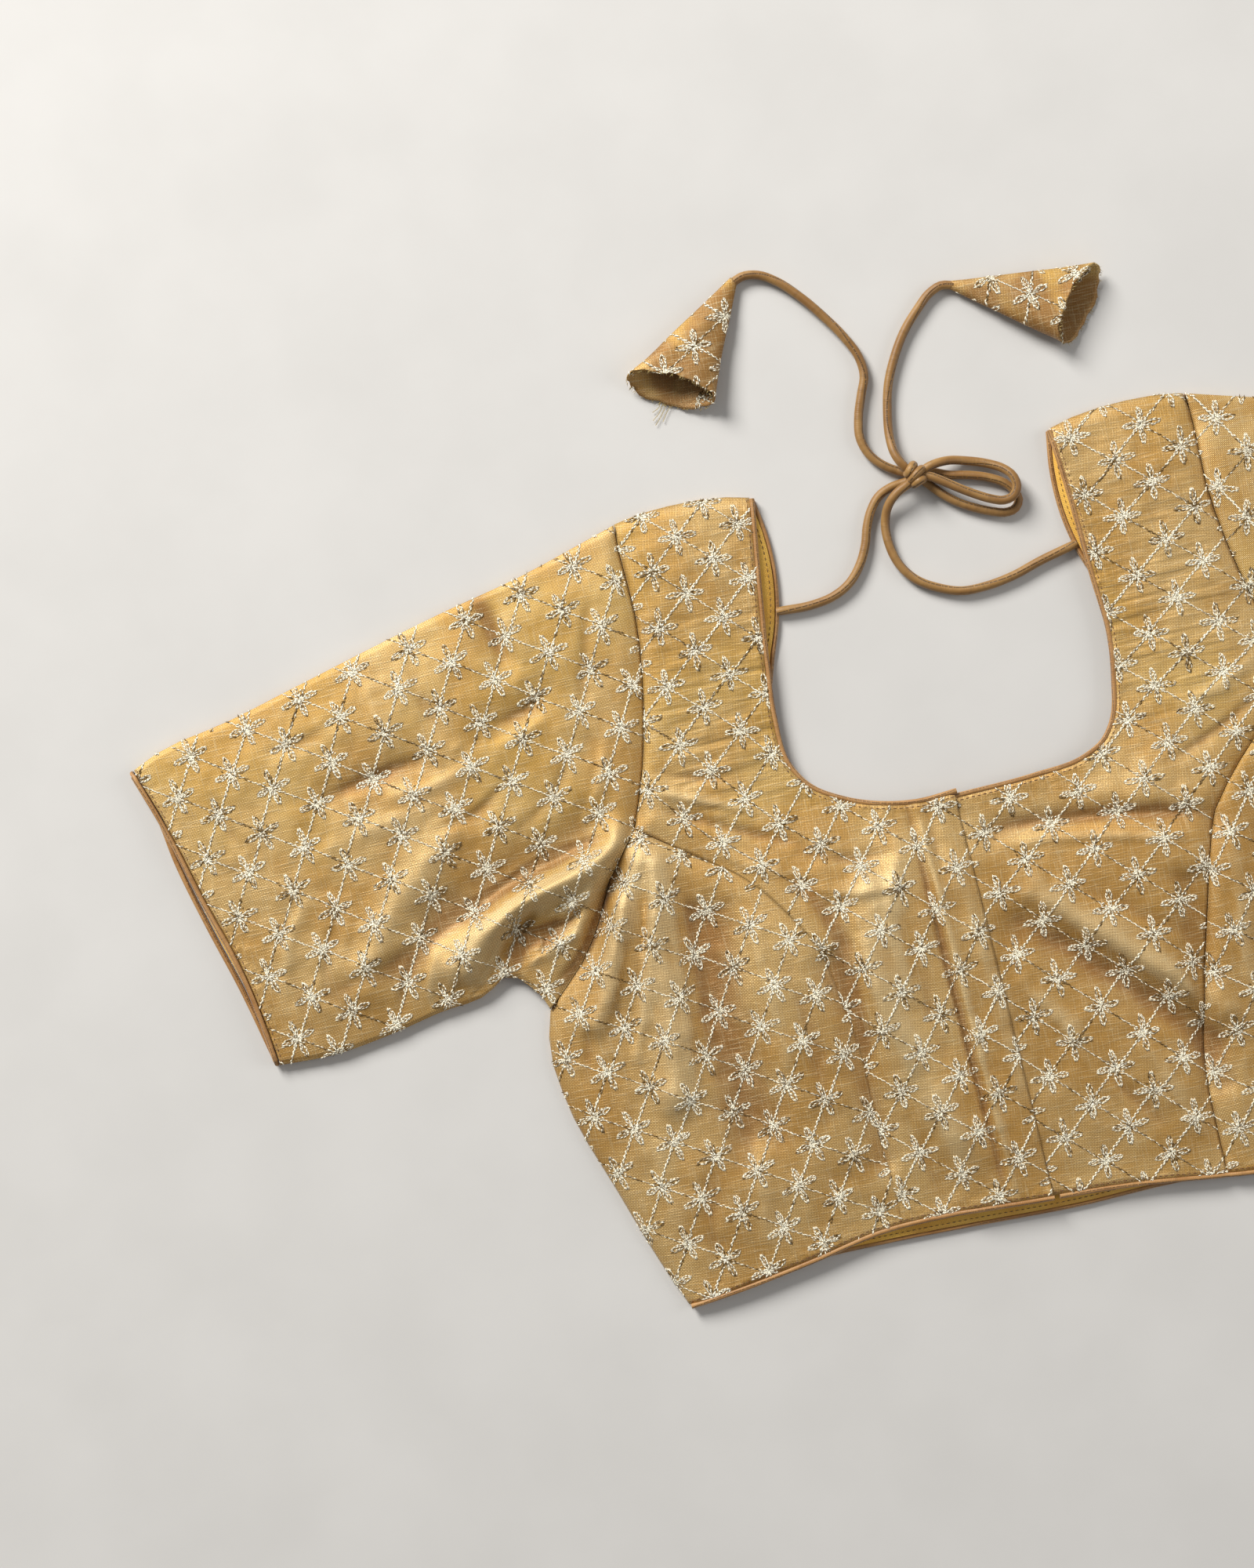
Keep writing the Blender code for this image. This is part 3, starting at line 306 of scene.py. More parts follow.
# Tie routes: (across, down, height of the centre), each from the neck through the bow to its cone
TIES = {
    "tie_left": (
        (-0.0745, 0.0580, LOW), (-0.0582, 0.0586, LOW), (-0.0471, 0.0568, LOW), (-0.0386, 0.0527, LOW),
        (-0.0306, 0.0442, LOW), (-0.0257, 0.0349, LOW), (-0.0230, 0.0267, LOW), (-0.0192, 0.0192, LOW),
        (-0.0139, 0.0132, LOW), (-0.0072, 0.0103, LOW), (0.0004, 0.0093, LOW), (0.0062, 0.0082, MID),
        (0.0119, 0.0052, HIGH), (0.0225, 0.0038, MID + 0.0008), (0.0325, 0.0058, LOW + 0.0004),
        (0.0424, 0.0095, LOW + 0.0006), (0.0492, 0.0137, MID), (0.0531, 0.0190, HIGH),
        (0.0536, 0.0245, HIGH + 0.0003), (0.0508, 0.0285, HIGH + 0.0003), (0.0458, 0.0295, HIGH),
        (0.0400, 0.0275, HIGH), (0.0330, 0.0236, HIGH), (0.0260, 0.0190, HIGH), (0.0195, 0.0143, HIGH),
        (0.0123, 0.0095, HIGH), (0.0060, 0.0068, MID + 0.0010), (0.0003, 0.0041, LOW),
        (-0.0078, -0.0010, LOW), (-0.0135, -0.0075, LOW), (-0.0165, -0.0168, LOW),
        (-0.0150, -0.0269, LOW), (-0.0110, -0.0381, LOW), (-0.0075, -0.0470, LOW),
        (-0.0080, -0.0565, LOW), (-0.0131, -0.0683, LOW), (-0.0207, -0.0804, LOW),
        (-0.0302, -0.0930, LOW), (-0.0399, -0.1029, LOW), (-0.0476, -0.1077, LOW),
        (-0.0559, -0.1088, LOW), (-0.0606, -0.1071, LOW),
    ),
    "tie_right": (
        (0.0749, 0.0588, LOW), (0.0571, 0.0628, LOW), (0.0422, 0.0670, LOW), (0.0281, 0.0689, LOW),
        (0.0158, 0.0685, LOW), (0.0048, 0.0643, LOW), (-0.0050, 0.0579, LOW), (-0.0116, 0.0486, LOW),
        (-0.0143, 0.0375, LOW), (-0.0138, 0.0272, LOW), (-0.0105, 0.0190, MID), (-0.0052, 0.0140, HIGH),
        (0.0016, 0.0108, HIGH), (0.0062, 0.0086, MID), (0.0126, 0.0071, LOW), (0.0231, 0.0109, LOW),
        (0.0312, 0.0128, LOW), (0.0410, 0.0162, LOW), (0.0492, 0.0212, LOW), (0.0530, 0.0265, LOW),
        (0.0538, 0.0305, LOW), (0.0510, 0.0345, LOW), (0.0461, 0.0353, LOW), (0.0400, 0.0335, LOW),
        (0.0323, 0.0300, LOW), (0.0248, 0.0256, LOW), (0.0175, 0.0196, LOW), (0.0107, 0.0118, LOW),
        (0.0058, 0.0070, MID), (0.0015, 0.0023, HIGH + 0.0002), (-0.0016, -0.0040, HIGH),
        (-0.0022, -0.0136, MID - 0.0008), (-0.0002, -0.0269, LOW), (0.0033, -0.0401, LOW),
        (0.0094, -0.0527, LOW), (0.0173, -0.0645, LOW), (0.0262, -0.0736, LOW), (0.0337, -0.0799, LOW),
        (0.0402, -0.0822, LOW), (0.0461, -0.0808, LOW),
    ),
}
KNOT = {"at": (0.0060, 0.0072), "size": (0.0128, 0.0124, 0.0132), "turn": math.radians(-46)}
KNOT_TURNS, KNOT_FAN = 2.3, math.radians(36)
KNOT_WRAP, KNOT_TUCK = 0.0043, 0.06
TIE_START = (CORD * 0.80, CORD * 0.96)

# Cloth cones: tip, and the two corners of the flattened mouth
TASSELS = {
    "tassel_left": ((-0.0621, -0.1060), (-0.1242, -0.0723), (-0.0840, -0.0492)),
    "tassel_right": ((0.0472, -0.0803), (0.1180, -0.0750), (0.0921, -0.0385)),
}
TASSEL_HEIGHT = (0.0052, 0.0150)
TASSEL_TIP_WIDTH = 0.0056
TASSEL_RIM_SLANT = 0.0072
TASSEL_SOCKET = 0.0030
CONE_SHADE = {"tassel_left": -1, "tassel_right": 1}
CONE_LENGTH = 0.062
CONE_STEP, CONE_LEAN, CONE_STAR = 0.0205, 0.3, 0.036
THREAD_REACHES = {"tassel_left": (0.0128, 0.0162, 0.0176, 0.0142), "tassel_right": (0.0040, 0.0060)}
LOOSE_THREAD, FRAYED_THREAD = 0.00028, 0.00026

# Star lattices: one star's (across, down), then the angle and length of each of the two rows of
# stitches, with angles turning from across towards down. A second row holds on the strap.
LATTICES = {
    "sleeve_left": ((-0.3207, 0.0998, 34.0, 0.0226, 119.0, 0.0224),),
    "sleeve_right": ((0.3107, 0.0948, -36.0, 0.0226, 59.0, 0.0224),),
    "front_side_left": ((-0.1612, 0.2649, 31.5, 0.0215, 121.5, 0.0228),),
    "front_side_right": ((0.1712, 0.2549, 37.0, 0.0226, 128.0, 0.0222),),
    "front_centre_left": (
        (-0.0122, 0.2669, 41.5, 0.0222, 128.5, 0.0222),
        (-0.1032, 0.0537, 44.0, 0.0207, 139.5, 0.0222),
    ),
    "front_centre_right": (
        (0.0182, 0.2678, 44.5, 0.0240, 138.5, 0.0216),
        (0.1194, 0.0667, 42.3, 0.0230, 142.0, 0.0224),
    ),
}
STRAP_END, BODICE_START = 0.105, 0.165
ROWS_MEET = (0.105, 0.135)


# Lines and places


def bell(distance, reach):
    return np.exp(-((distance / reach) ** 2))


def ramp(value, start, span):
    return np.clip((value - start) / span, 0, 1)


def eased(share):
    return share * share * (3 - 2 * share)


def flat_places(bm):
    return np.array([vert.co[:2] for vert in bm.verts])


def unit(vector):
    return vector / np.linalg.norm(vector)


def place(rows, side=RIGHT):
    """World X and Y of a table's (across, down) rows, on the right or mirrored to the left."""
    table = np.array(rows, float)[:, :2]
    return np.stack([side * table[:, 0], SHOULDER_Y - table[:, 1]], 1)


def lengths(points):
    return np.concatenate([[0.0], np.cumsum(np.linalg.norm(np.diff(points, axis=0), axis=1))])


def at(points, shares):
    """Points at these shares of a line's length."""
    run = lengths(points)
    wanted = np.atleast_1d(shares) * run[-1]
    return np.stack([np.interp(wanted, run, points[:, k]) for k in range(points.shape[1])], 1)


def smooth(points, step=STEP):
    """Evenly spaced points, about a step apart, on a smooth curve through the given ones."""
    points = np.asarray(points, float)
    run = lengths(points)
    slope = np.gradient(points, run, axis=0)
    fine = []
    for i in range(len(points) - 1):
        span = run[i + 1] - run[i]
        for t in np.linspace(0, 1, 12, endpoint=False):
            a, b = (1 + 2 * t) * (1 - t) ** 2, t * (1 - t) ** 2
            c, d = t * t * (3 - 2 * t), t * t * (t - 1)
            fine.append(a * points[i] + b * span * slope[i] + c * points[i + 1] + d * span * slope[i + 1])
    fine = np.array([*fine, points[-1]])
    count = max(1, round(lengths(fine)[-1] / step))
    return at(fine, np.linspace(0, 1, count + 1))


def beside(xy, line):
    """Each point's distance to a line, its share of the way along it, and the side that it is on."""
    start, along = line[:-1], np.diff(line, axis=0)
    offset = xy[:, None] - start
    share = np.clip((offset * along).sum(2) / (along * along).sum(1), 0, 1)
    away = offset - share[..., None] * along
    gap = np.linalg.norm(away, axis=2)
    best = gap.argmin(1)
    pick = np.arange(len(xy))
    hand = along[best, 0] * away[pick, best, 1] - along[best, 1] * away[pick, best, 0]
    return gap[pick, best], (best + share[pick, best]) / len(along), np.sign(hand)


def distance(xy, line):
    return beside(xy, line)[0]


def moved_left(line, amount):
    """A line moved sideways, to the left as one goes along it."""
    ahead = np.gradient(line, axis=0)
    return line + amount * np.stack([-ahead[:, 1], ahead[:, 0]], 1) / np.linalg.norm(ahead, axis=1)[:, None]


def nearest(xy, lines):
    return np.min([distance(xy, line) for line in lines], axis=0)


def edge_of(rows, side):
    return smooth(place(rows, side), 0.0135)


def fine_edge(rows, side=RIGHT):
    return smooth(place(rows, side), FINE)


SHOULDERS = [edge_of(SHOULDER, side) for side in BOTH]
SIDES = [edge_of(SIDE_SEAM, side) for side in BOTH]
SLEEVE_EDGES = [edge_of(rows, side) for rows in (SLEEVE_TOP, SLEEVE_UNDER) for side in BOTH]
SEAMS = [edge_of(rows, side) for side in BOTH for rows in (ARMHOLE, PRINCESS[side])]
ARMHOLES, (LEFT_PRINCESS, RIGHT_PRINCESS) = SEAMS[::2], SEAMS[1::2]
NECKS = [edge_of(NECK_FRONT[side], side) for side in BOTH]
CUFFS = [edge_of(CUFF_FRONT, side) for side in BOTH]
FREE_EDGES = [edge_of(HEM_FRONT, RIGHT), *NECKS, *CUFFS]


def ripple(xy, seed, shortest, longest, count=28):
    """Soft unevenness of about -1 to 1, made of waves in many directions."""
    rng = np.random.default_rng(seed)
    total = np.zeros(len(xy))
    for _ in range(count):
        angle, phase = rng.uniform(0, 2 * math.pi, 2)
        length = rng.uniform(shortest, longest)
        along = xy @ np.array([math.cos(angle), math.sin(angle)])
        total += np.sin(along * 2 * math.pi / length + phase)
    return total / math.sqrt(count)


def front_height(xy):
    """Height of the solid front layer's lower face."""
    body_edge = nearest(xy, SHOULDERS + SIDES)
    closed = np.minimum(body_edge, nearest(xy, SLEEVE_EDGES))
    free = nearest(xy, FREE_EDGES)
    settled = FREE_SHARE + (1 - FREE_SHARE) * (1 - bell(free, FREE_REACH))
    rise = LOFT * (1 - bell(closed, LOFT_REACH)) * settled
    shape = np.zeros(len(xy))
    for side in BOTH:
        (middle,) = place([(BUST_ACROSS, BUST_DOWN)], side)
        shape += BUST_HEIGHT * np.exp(-(((xy - middle) / BUST_REACH) ** 2).sum(1))
    shape += fold_height(xy)
    seam = nearest(xy, SEAMS)
    gap, share, _ = beside(xy, LEFT_PRINCESS)
    sunk = np.where(gap <= seam, ramp(share, *PRINCESS_FADE), 0)
    shape -= SEAM_DIP * (1 - PRINCESS_FADED * sunk) * bell(seam, SEAM_REACH)
    for line in ARMHOLES:
        gap, share, _ = beside(xy, line)
        shape -= ARMHOLE_DIP * ramp(share, *ARMHOLE_DIP_START) * bell(gap, ARMHOLE_DIP_REACH)
    shape += crease_height(xy) * (1 - bell(seam, CREASE_CLEAR))
    near_free = FREE_LEAST + (1 - FREE_LEAST) * (1 - bell(free, FREE_FADE))
    rise = rise + shape * near_free * (1 - bell(closed, CLOSED_FADE))
    softened = (rise + np.sqrt(rise**2 + LEAST_RISE**2)) / 2
    roll = (FRONT_REST - EDGE_REST) * bell(body_edge, EDGE_ROLL)
    tuck = EDGE_TUCK * bell(body_edge, EDGE_TUCK_REACH)
    groove = SEAM_GROOVE * (1 - sunk) * bell(seam, SEAM_GROOVE_REACH)
    groove += PRINCESS_GROOVE * bell(distance(xy, RIGHT_PRINCESS), PRINCESS_GROOVE_REACH)
    groove += ARMHOLE_GROOVE * bell(nearest(xy, ARMHOLES), ARMHOLE_GROOVE_REACH)
    return FRONT_REST + softened - roll - tuck - groove


def fold_height(xy):
    total = np.zeros(len(xy))
    for height, width, sides, route in FOLDS:
        for side in sides:
            away = distance(xy, edge_of(np.array(route) / 1000, side))
            total += height / 1000 * bell(away, width / 1000)
    return total


def crease_height(xy):
    """Creases and small unevenness, which the solids leave out."""
    total = sum(height * ripple(xy, *waves) for height, *waves in RIPPLES)
    rows = [(side, *crease) for side, creases in CREASES.items() for crease in creases]
    for k, (side, height, width, route) in enumerate(rows):
        away, share, hand = beside(xy, smooth(place(np.array(route) / 1000, side), 2 * FINE))
        reach = np.where(hand > 0, width, width * CREASE_FLANKS[k % 2]) / 1000
        fade = np.sin(math.pi * np.clip(share, 0.0, 1.0)) ** CREASE_ENDS
        total += height / 1000 * fade * bell(away, reach)
    return total


def lapped_height(xy):
    """The left front: as the front layer, but stepped up over the right front's underlap."""
    down = SHOULDER_Y - xy[:, 1]
    share = ramp(down, LAP_TOP, LAP_FOOT - LAP_TOP)
    underlap = UNDERLAP_EDGE["neck"] + share * (UNDERLAP_EDGE["hem"] - UNDERLAP_EDGE["neck"])
    past = np.clip((underlap - LAP_MARGIN - xy[:, 0]) / LAP_FADE, 0, 1)
    on_lap = np.where(down > LAP_START, 1 - eased(past), 0)
    edge = distance(xy, place([(LAP_EDGE["neck"], LAP_TOP), (LAP_EDGE["hem"], LAP_FOOT)]))
    inner = ramp(down, LAP_TOP + LAP_PRESS_FADE, LAP_PRESS_FADE)
    inner = inner * np.clip((LAP_FOOT - LAP_PRESS_FOOT - down) / LAP_PRESS_FADE, 0, 1)
    return front_height(xy) + LAP_STEP * on_lap - LAP_PRESS * inner * bell(edge, LAP_PRESS_REACH)


# Shader maths


class Value:
    """A node's output in a material, so that shader maths reads as sums."""

    def __init__(self, paint, socket):
        self.paint, self.socket = paint, socket

    def math(self, operation, *values):
        return self.paint.node("ShaderNodeMath", {"operation": operation}, dict(enumerate(values)))

    def __add__(self, other):
        return self.math("ADD", self, other)

    def __sub__(self, other):
        return self.math("SUBTRACT", self, other)

    def __rsub__(self, other):
        return self.math("SUBTRACT", other, self)

    def __mul__(self, other):
        return self.math("MULTIPLY", self, other)

    __radd__, __rmul__ = __add__, __mul__

    def sine(self):
        return self.math("SINE", self)

    def size(self):
        return self.math("ABSOLUTE", self)

    def step(self, low, high):
        """0 below low, 1 above high and smooth between."""
        settings = {"interpolation_type": "SMOOTHSTEP"}
        values = {"Value": self, "From Min": low, "From Max": high}
        return self.paint.node("ShaderNodeMapRange", settings, values)


class Paint:
    """A material with a Principled shader, and the nodes that feed it."""

    def __init__(self, name, **constants):
        self.material = bpy.data.materials.new(name)
        self.material.use_nodes = True
        self.tree = self.material.node_tree
        self.shader = self.tree.nodes["Principled BSDF"]
        for socket, value in constants.items():
            self.shader.inputs[socket.replace("_", " ")].default_value = value

    def node(self, kind, settings=(), values=(), out=0):
        made = self.tree.nodes.new(kind)
        for key, value in dict(settings).items():
            setattr(made, key, value)
        for key, value in dict(values).items():
            self.feed(made.inputs[key], value)
        return Value(self, made.outputs[out])

    def feed(self, socket, value):
        if isinstance(value, Value):
            self.tree.links.new(value.socket, socket)
        else:
            socket.default_value = value

    def set(self, **values):
        for socket, value in values.items():
            self.feed(self.shader.inputs[socket.replace("_", " ")], value)

    def places(self, scale=(1, 1, 1), turn=0.0, source="Object"):
        """Coordinates on the piece, turned about Z and scaled."""
        there = self.node("ShaderNodeTexCoord", out=source)
        values = {"Vector": there, "Rotation": (0, 0, turn), "Scale": scale}
        return self.node("ShaderNodeMapping", {}, values)

    def split(self, vector, axis):
        return self.node("ShaderNodeSeparateXYZ", {}, {0: vector}, out=axis)

    def noise(self, vector, scale, detail=2.0, roughness=0.5):
        values = {"Vector": vector, "Scale": scale, "Detail": detail, "Roughness": roughness}
        return self.node("ShaderNodeTexNoise", {}, values, out="Fac")

    def blend(self, share, first, second):
        settings = {"data_type": "RGBA"}
        first, second = as_colour(first), as_colour(second)
        return self.node("ShaderNodeMix", settings, {0: share, 6: first, 7: second}, out=2)

    def bump(self, height, below=(0, 0, 0)):
        """The normal of a height in metres, on top of another normal where one is given."""
        values = {"Strength": 1.0, "Distance": 1.0, "Height": height}
        if isinstance(below, Value):
            values["Normal"] = below
        return self.node("ShaderNodeBump", {}, values)

    def attribute(self, name):
        return self.node("ShaderNodeAttribute", {"attribute_name": name}, out="Fac")


def colour(red, green, blue):
    """A linear colour with alpha, from 0 to 255 screen values."""

    def linear(value):
        value /= 255
        return value / 12.92 if value <= 0.04045 else ((value + 0.055) / 1.055) ** 2.4

    return (linear(red), linear(green), linear(blue), 1.0)


def as_colour(given):
    """A value or a linear RGBA as it is, and three screen values as a linear RGBA."""
    return given if isinstance(given, Value) or len(given) == 4 else colour(*given)


def dimmed(rgb, share):
    return tuple(share * value for value in rgb)


def weave(paint, pitch, turn=0.0):
    """Height and share of warp of a plain weave with threads this far apart."""
    there = paint.places(turn=turn)
    loose = paint.noise(there, 900.0, 1.0) - 0.5
    turns = math.pi / pitch
    across = paint.split(there, "X") * turns + loose * 1.1
    along = paint.split(there, "Y") * turns + loose * 0.9
    over = across.sine() * along.sine()
    warp = across.sine().size() * (0.62 + 0.38 * over)
    weft = along.sine().size() * (0.62 - 0.38 * over)
    return warp.math("MAXIMUM", warp, weft), over.step(-0.5, 0.5)


def tissue_paint(name, turn, strap_ripples=1.0):
    """Shot tissue silk: gold and rose threads, in patches, with slubs, puckers and strap ripples. Painted
    shade darkens its fold valleys, its weave gaps and the cloth towards the bottom, and a painted highlight
    lightens its fold ridges.
    """
    paint = Paint(name, Metallic=0.38, Sheen_Weight=0.12, Sheen_Roughness=0.4)
    height, warp = weave(paint, 0.00074, turn)
    there = paint.places(turn=turn)
    patches = paint.noise(there, 26.0, 3.0, 0.55).step(0.38, 0.62)
    clouds = paint.noise(there, 10.0, 2.0).step(0.38, 0.64)
    slubs = paint.noise(paint.places((70, 1300, 1), turn), 1.0, 2.0).step(0.48, 0.72)
    bars = paint.noise(paint.places((1300, 55, 1), turn), 1.0, 2.0).step(0.48, 0.76)
    gold = paint.blend(patches, (244, 213, 140), (217, 174, 88))
    rose = paint.blend(clouds, (206, 153, 90), (217, 176, 84))
    cloth = paint.blend(warp * 0.60 + 0.25 * clouds, gold, rose)
    # Painted shade: the cloth turns darker and browner towards the bottom of the garment
    lower = 1 - paint.split(paint.places(), "Y").step(-0.030, 0.060)
    cloth = paint.blend(lower * (0.02 + 0.36 * clouds), cloth, (158, 102, 48))
    # Painted shade in the fold valleys and a painted highlight on the fold ridges, from the fold heights
    # stored on each piece
    painted_light_shade = paint.attribute("painted_light_shade")
    cloth = paint.blend((0 - painted_light_shade).step(0.0, 1.1) * 0.70, cloth, (134, 84, 36))
    cloth = paint.blend(painted_light_shade.step(0.0, 0.9) * 0.56, cloth, (252, 230, 176))
    cloth = paint.blend(slubs * 0.36 + bars * 0.30, cloth, (250, 232, 184))
    # Painted shade: the low parts of the weave are darkened between its threads
    cloth = paint.blend(1.0 - height, cloth, (112, 72, 26))
    across, up = (paint.split(paint.places(), axis) for axis in "XY")
    strap = up.step(0.022, 0.060) * (1.3 - 0.9 * up.step(0.080, 0.170))
    strap = strap * (strap_ripples - strap_ripples * across.size().step(0.138, 0.150))
    ripples = paint.noise(paint.places((15, 120, 1)), 1.0, 2.0, 0.5).step(0.30, 0.70) * strap
    puckers = paint.noise(paint.places((150, 150, 1)), 1.0, 2.0) * paint.attribute("pucker")
    fine = paint.bump(height * 0.00010 + slubs * 0.00007 + bars * 0.00006)
    coarse = paint.bump(ripples * 0.0006 + puckers * 0.0014, fine)
    paint.set(Base_Color=cloth, Normal=coarse, Roughness=0.49 + 0.10 * clouds)
    return paint.material


def plain_paint(name, light, dark, pitch):
    """A plain woven cloth of two near colours, with painted shade in the gaps of its weave."""
    paint = Paint(name, Sheen_Weight=0.2, Sheen_Roughness=0.5)
    height, _ = weave(paint, pitch)
    patches = paint.noise(paint.places(), 60.0, 3.0).step(0.3, 0.7)
    cloth = paint.blend(patches, light, dark)
    # Painted shade: the low parts of the weave are darkened between its threads
    cloth = paint.blend(0.35 - 0.35 * height, cloth, dimmed(dark, 0.5))
    paint.set(Base_Color=cloth, Normal=paint.bump(height * 0.00018), Roughness=0.6 - 0.08 * patches)
    return paint.material


def zari_paint():
    """Metal-wrapped thread with a painted glint: each stitch's brightness, from a cream highlight to a dull
    olive shade, stands in for its reflections.
    """
    paint = Paint("zari_thread", Metallic=0.20)
    # Painted reflection: the glint attribute picks between a bright cream and a dark olive copy of the
    # thread
    own = paint.attribute("glint")
    wraps = paint.noise(paint.places(), 2600.0, 1.0).step(0.35, 0.7)
    bright = paint.blend(wraps, (255, 253, 238), (246, 234, 200))
    thread = paint.blend(own.step(0.12, 0.62), (116, 90, 46), bright)
    paint.set(Base_Color=thread, Roughness=0.40 - 0.14 * own)
    return paint.material


def thread_paint(name, rgb):
    """Sewing thread with its ply."""
    paint = Paint(name, Sheen_Weight=0.2)
    ply = paint.noise(paint.places(), 2200.0, 1.0).step(0.35, 0.65)
    paint.set(Base_Color=paint.blend(ply, rgb, dimmed(rgb, 0.7)))
    paint.set(Roughness=0.5 + 0.2 * ply)
    return paint.material


def cord_paint(name, light, dark):
    """Bias-cut cloth round a cord: a slanting weave, fine creases across it with painted shade along them,
    and its seam.
    """
    paint = Paint(name, Sheen_Weight=0.25, Sheen_Roughness=0.4)
    round_it, along = (paint.split(paint.places(source="UV"), axis) for axis in "XY")
    slant = (along * 5200.0 + round_it * 9.4).sine() * (along * 5200.0 - round_it * 9.4).sine()
    creases = paint.noise(paint.places((1.2, 420, 1), source="UV"), 1.0, 2.0)
    patches = paint.noise(paint.places((2.0, 46, 1), source="UV"), 1.0, 2.0).step(0.3, 0.7)
    wander = paint.noise(paint.places((0, 14, 0), source="UV"), 1.0, 1.0) - 0.5
    seam = 1 - (round_it - 0.34 - wander * 0.9).size().step(0.014, 0.030)
    seam = seam * paint.noise(paint.places((0, 900, 0), source="UV"), 1.0, 1.0).step(0.36, 0.52)
    cloth = paint.blend(patches, light, dark)
    cloth = paint.blend(seam * 0.70, cloth, dimmed(dark, 0.45))
    # Painted shade along the fine creases
    cloth = paint.blend(creases.step(0.5, 0.72) * 0.22, cloth, dimmed(dark, 0.6))
    normal = paint.bump(slant * 0.00004 + creases * 0.00022 - seam * 0.00025)
    paint.set(Base_Color=cloth, Normal=normal, Roughness=0.52 - 0.06 * patches)
    return paint.material


GRAIN = {"sleeve_left": 34, "sleeve_right": -34, "front_side_left": 10, "front_side_right": -8}
PAINTS = {
    "piping": cord_paint("piping_tan", (180, 136, 82), (156, 110, 58)),
    "tie": cord_paint("tie_tan", (158, 120, 66), (134, 95, 46)),
    "lining": plain_paint("lining_mustard", (255, 202, 84), (248, 184, 64), 0.0006),
    "zari": zari_paint(),
    "brown_thread": thread_paint("brown_thread", (122, 72, 32)),
    "lining_thread": thread_paint("lining_thread", (132, 92, 24)),
    "gold_thread": thread_paint("gold_thread", (196, 172, 102)),
}


def tissue_for(name):
    if name not in PAINTS:
        ripples = 0.0 if name == "cone" else 1.0
        PAINTS[name] = tissue_paint("tissue_" + name, math.radians(GRAIN.get(name, 13)), ripples)
    return PAINTS[name]


# Making pieces


def finished(name, bm, paint, replaced=()):
    """A mesh piece that rides on the one body."""
    mesh = bpy.data.meshes.new(name)
    bm.to_mesh(mesh)
    bm.free()
    return finished_mesh(name, mesh, paint, replaced)


def finished_mesh(name, mesh, paint, replaced=(), sharp=60):
    mesh.shade_smooth()
    mesh.set_sharp_from_angle(angle=math.radians(sharp))
    mesh.materials.append(paint)
    piece = bpy.data.objects.new(name, mesh)
    bpy.context.scene.collection.objects.link(piece)
    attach(piece, "root")
    if replaced:
        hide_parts(*replaced)
    return piece


def thicken(piece, thickness):
    """Gives a sheet its thickness, on the side away from its faces."""
    wall = piece.modifiers.new("thickness", "SOLIDIFY")
    wall.thickness = thickness
    wall.offset = -1
    wall.use_even_offset = False


def shaped_grid(across, along, where, wrap=False):
    """A grid with a UV map, whose points go where the function of (across, along) shares puts them."""
    bm = bmesh.new()
    uv = bm.loops.layers.uv.new("UVMap")
    bmesh.ops.create_grid(bm, x_segments=across, y_segments=along, size=0.5, calc_uvs=True)
    shares = flat_places(bm) + 0.5
    for vert, spot in zip(bm.verts, where(shares[:, 0], shares[:, 1])):
        vert.co = spot
    if wrap:
        bmesh.ops.remove_doubles(bm, verts=bm.verts, dist=1e-6)
    return bm, uv


def tube(path, width, sides=12, loop=False):
    """A round cord along the points, of one width or one for each point. Its UV map runs round it,
    and along it in metres."""
    path = np.asarray(path, float)
    half = np.broadcast_to(width, len(path)) / 2
    ahead = np.gradient(path, axis=0)
    if loop:
        ahead = np.roll(path, -1, 0) - np.roll(path, 1, 0)
        path, ahead = (np.vstack([rows, rows[:1]]) for rows in (path, ahead))
        half = np.append(half, half[0])
    ahead /= np.linalg.norm(ahead, axis=1)[:, None]
    side = np.stack([-ahead[:, 1], ahead[:, 0], np.zeros(len(ahead))], 1)
    side /= np.linalg.norm(side, axis=1)[:, None]
    up = np.cross(ahead, side)
    total = lengths(path)[-1]

    def where(round_it, along):
        k = np.rint(along * (len(path) - 1)).astype(int)
        angle = round_it * 2 * math.pi
        around = np.cos(angle)[:, None] * side[k] + np.sin(angle)[:, None] * up[k]
        return path[k] + around * half[k, None]

    bm, uv = shaped_grid(sides, len(path) - 1, where, wrap=True)
    if not loop:
        bmesh.ops.holes_fill(bm, edges=[edge for edge in bm.edges if edge.is_boundary], sides=0)
    for face in bm.faces:
        for corner in face.loops:
            corner[uv].uv.y *= total
    bmesh.ops.recalc_face_normals(bm, faces=bm.faces)
    return bm


def float_attribute(mesh, name, values):
    mesh.attributes.new(name, "FLOAT", "POINT").data.foreach_set("value", np.asarray(values, np.float32))


# Camera, before the pieces

CAMERA_HEIGHT = 1.5
FRAME_HEIGHT = 0.780
FRAME_CENTRE = (-0.1685, 0.1248)
IMAGE_UP = np.array([0.2250, 0.9744])
IMAGE_RIGHT = np.array([0.9744, -0.2250])


def make_camera():
    data = bpy.data.cameras.new("camera")
    data.sensor_fit = "VERTICAL"
    data.sensor_height = 36.0
    data.lens = data.sensor_height * CAMERA_HEIGHT / FRAME_HEIGHT
    data.clip_start, data.clip_end = 0.05, 20.0
    camera = bpy.data.objects.new("camera", data)
    bpy.context.scene.collection.objects.link(camera)
    right, up = Vector((*IMAGE_RIGHT, 0)), Vector((*IMAGE_UP, 0))
    turn = Matrix((right, up, right.cross(up))).transposed()
    (centre,) = place([FRAME_CENTRE])
    camera.matrix_world = Matrix.Translation((*centre, CAMERA_HEIGHT + 0.006)) @ turn.to_4x4()
    bpy.context.scene.camera = camera


make_camera()


# Ties: two cords, their bow's knot and their cones


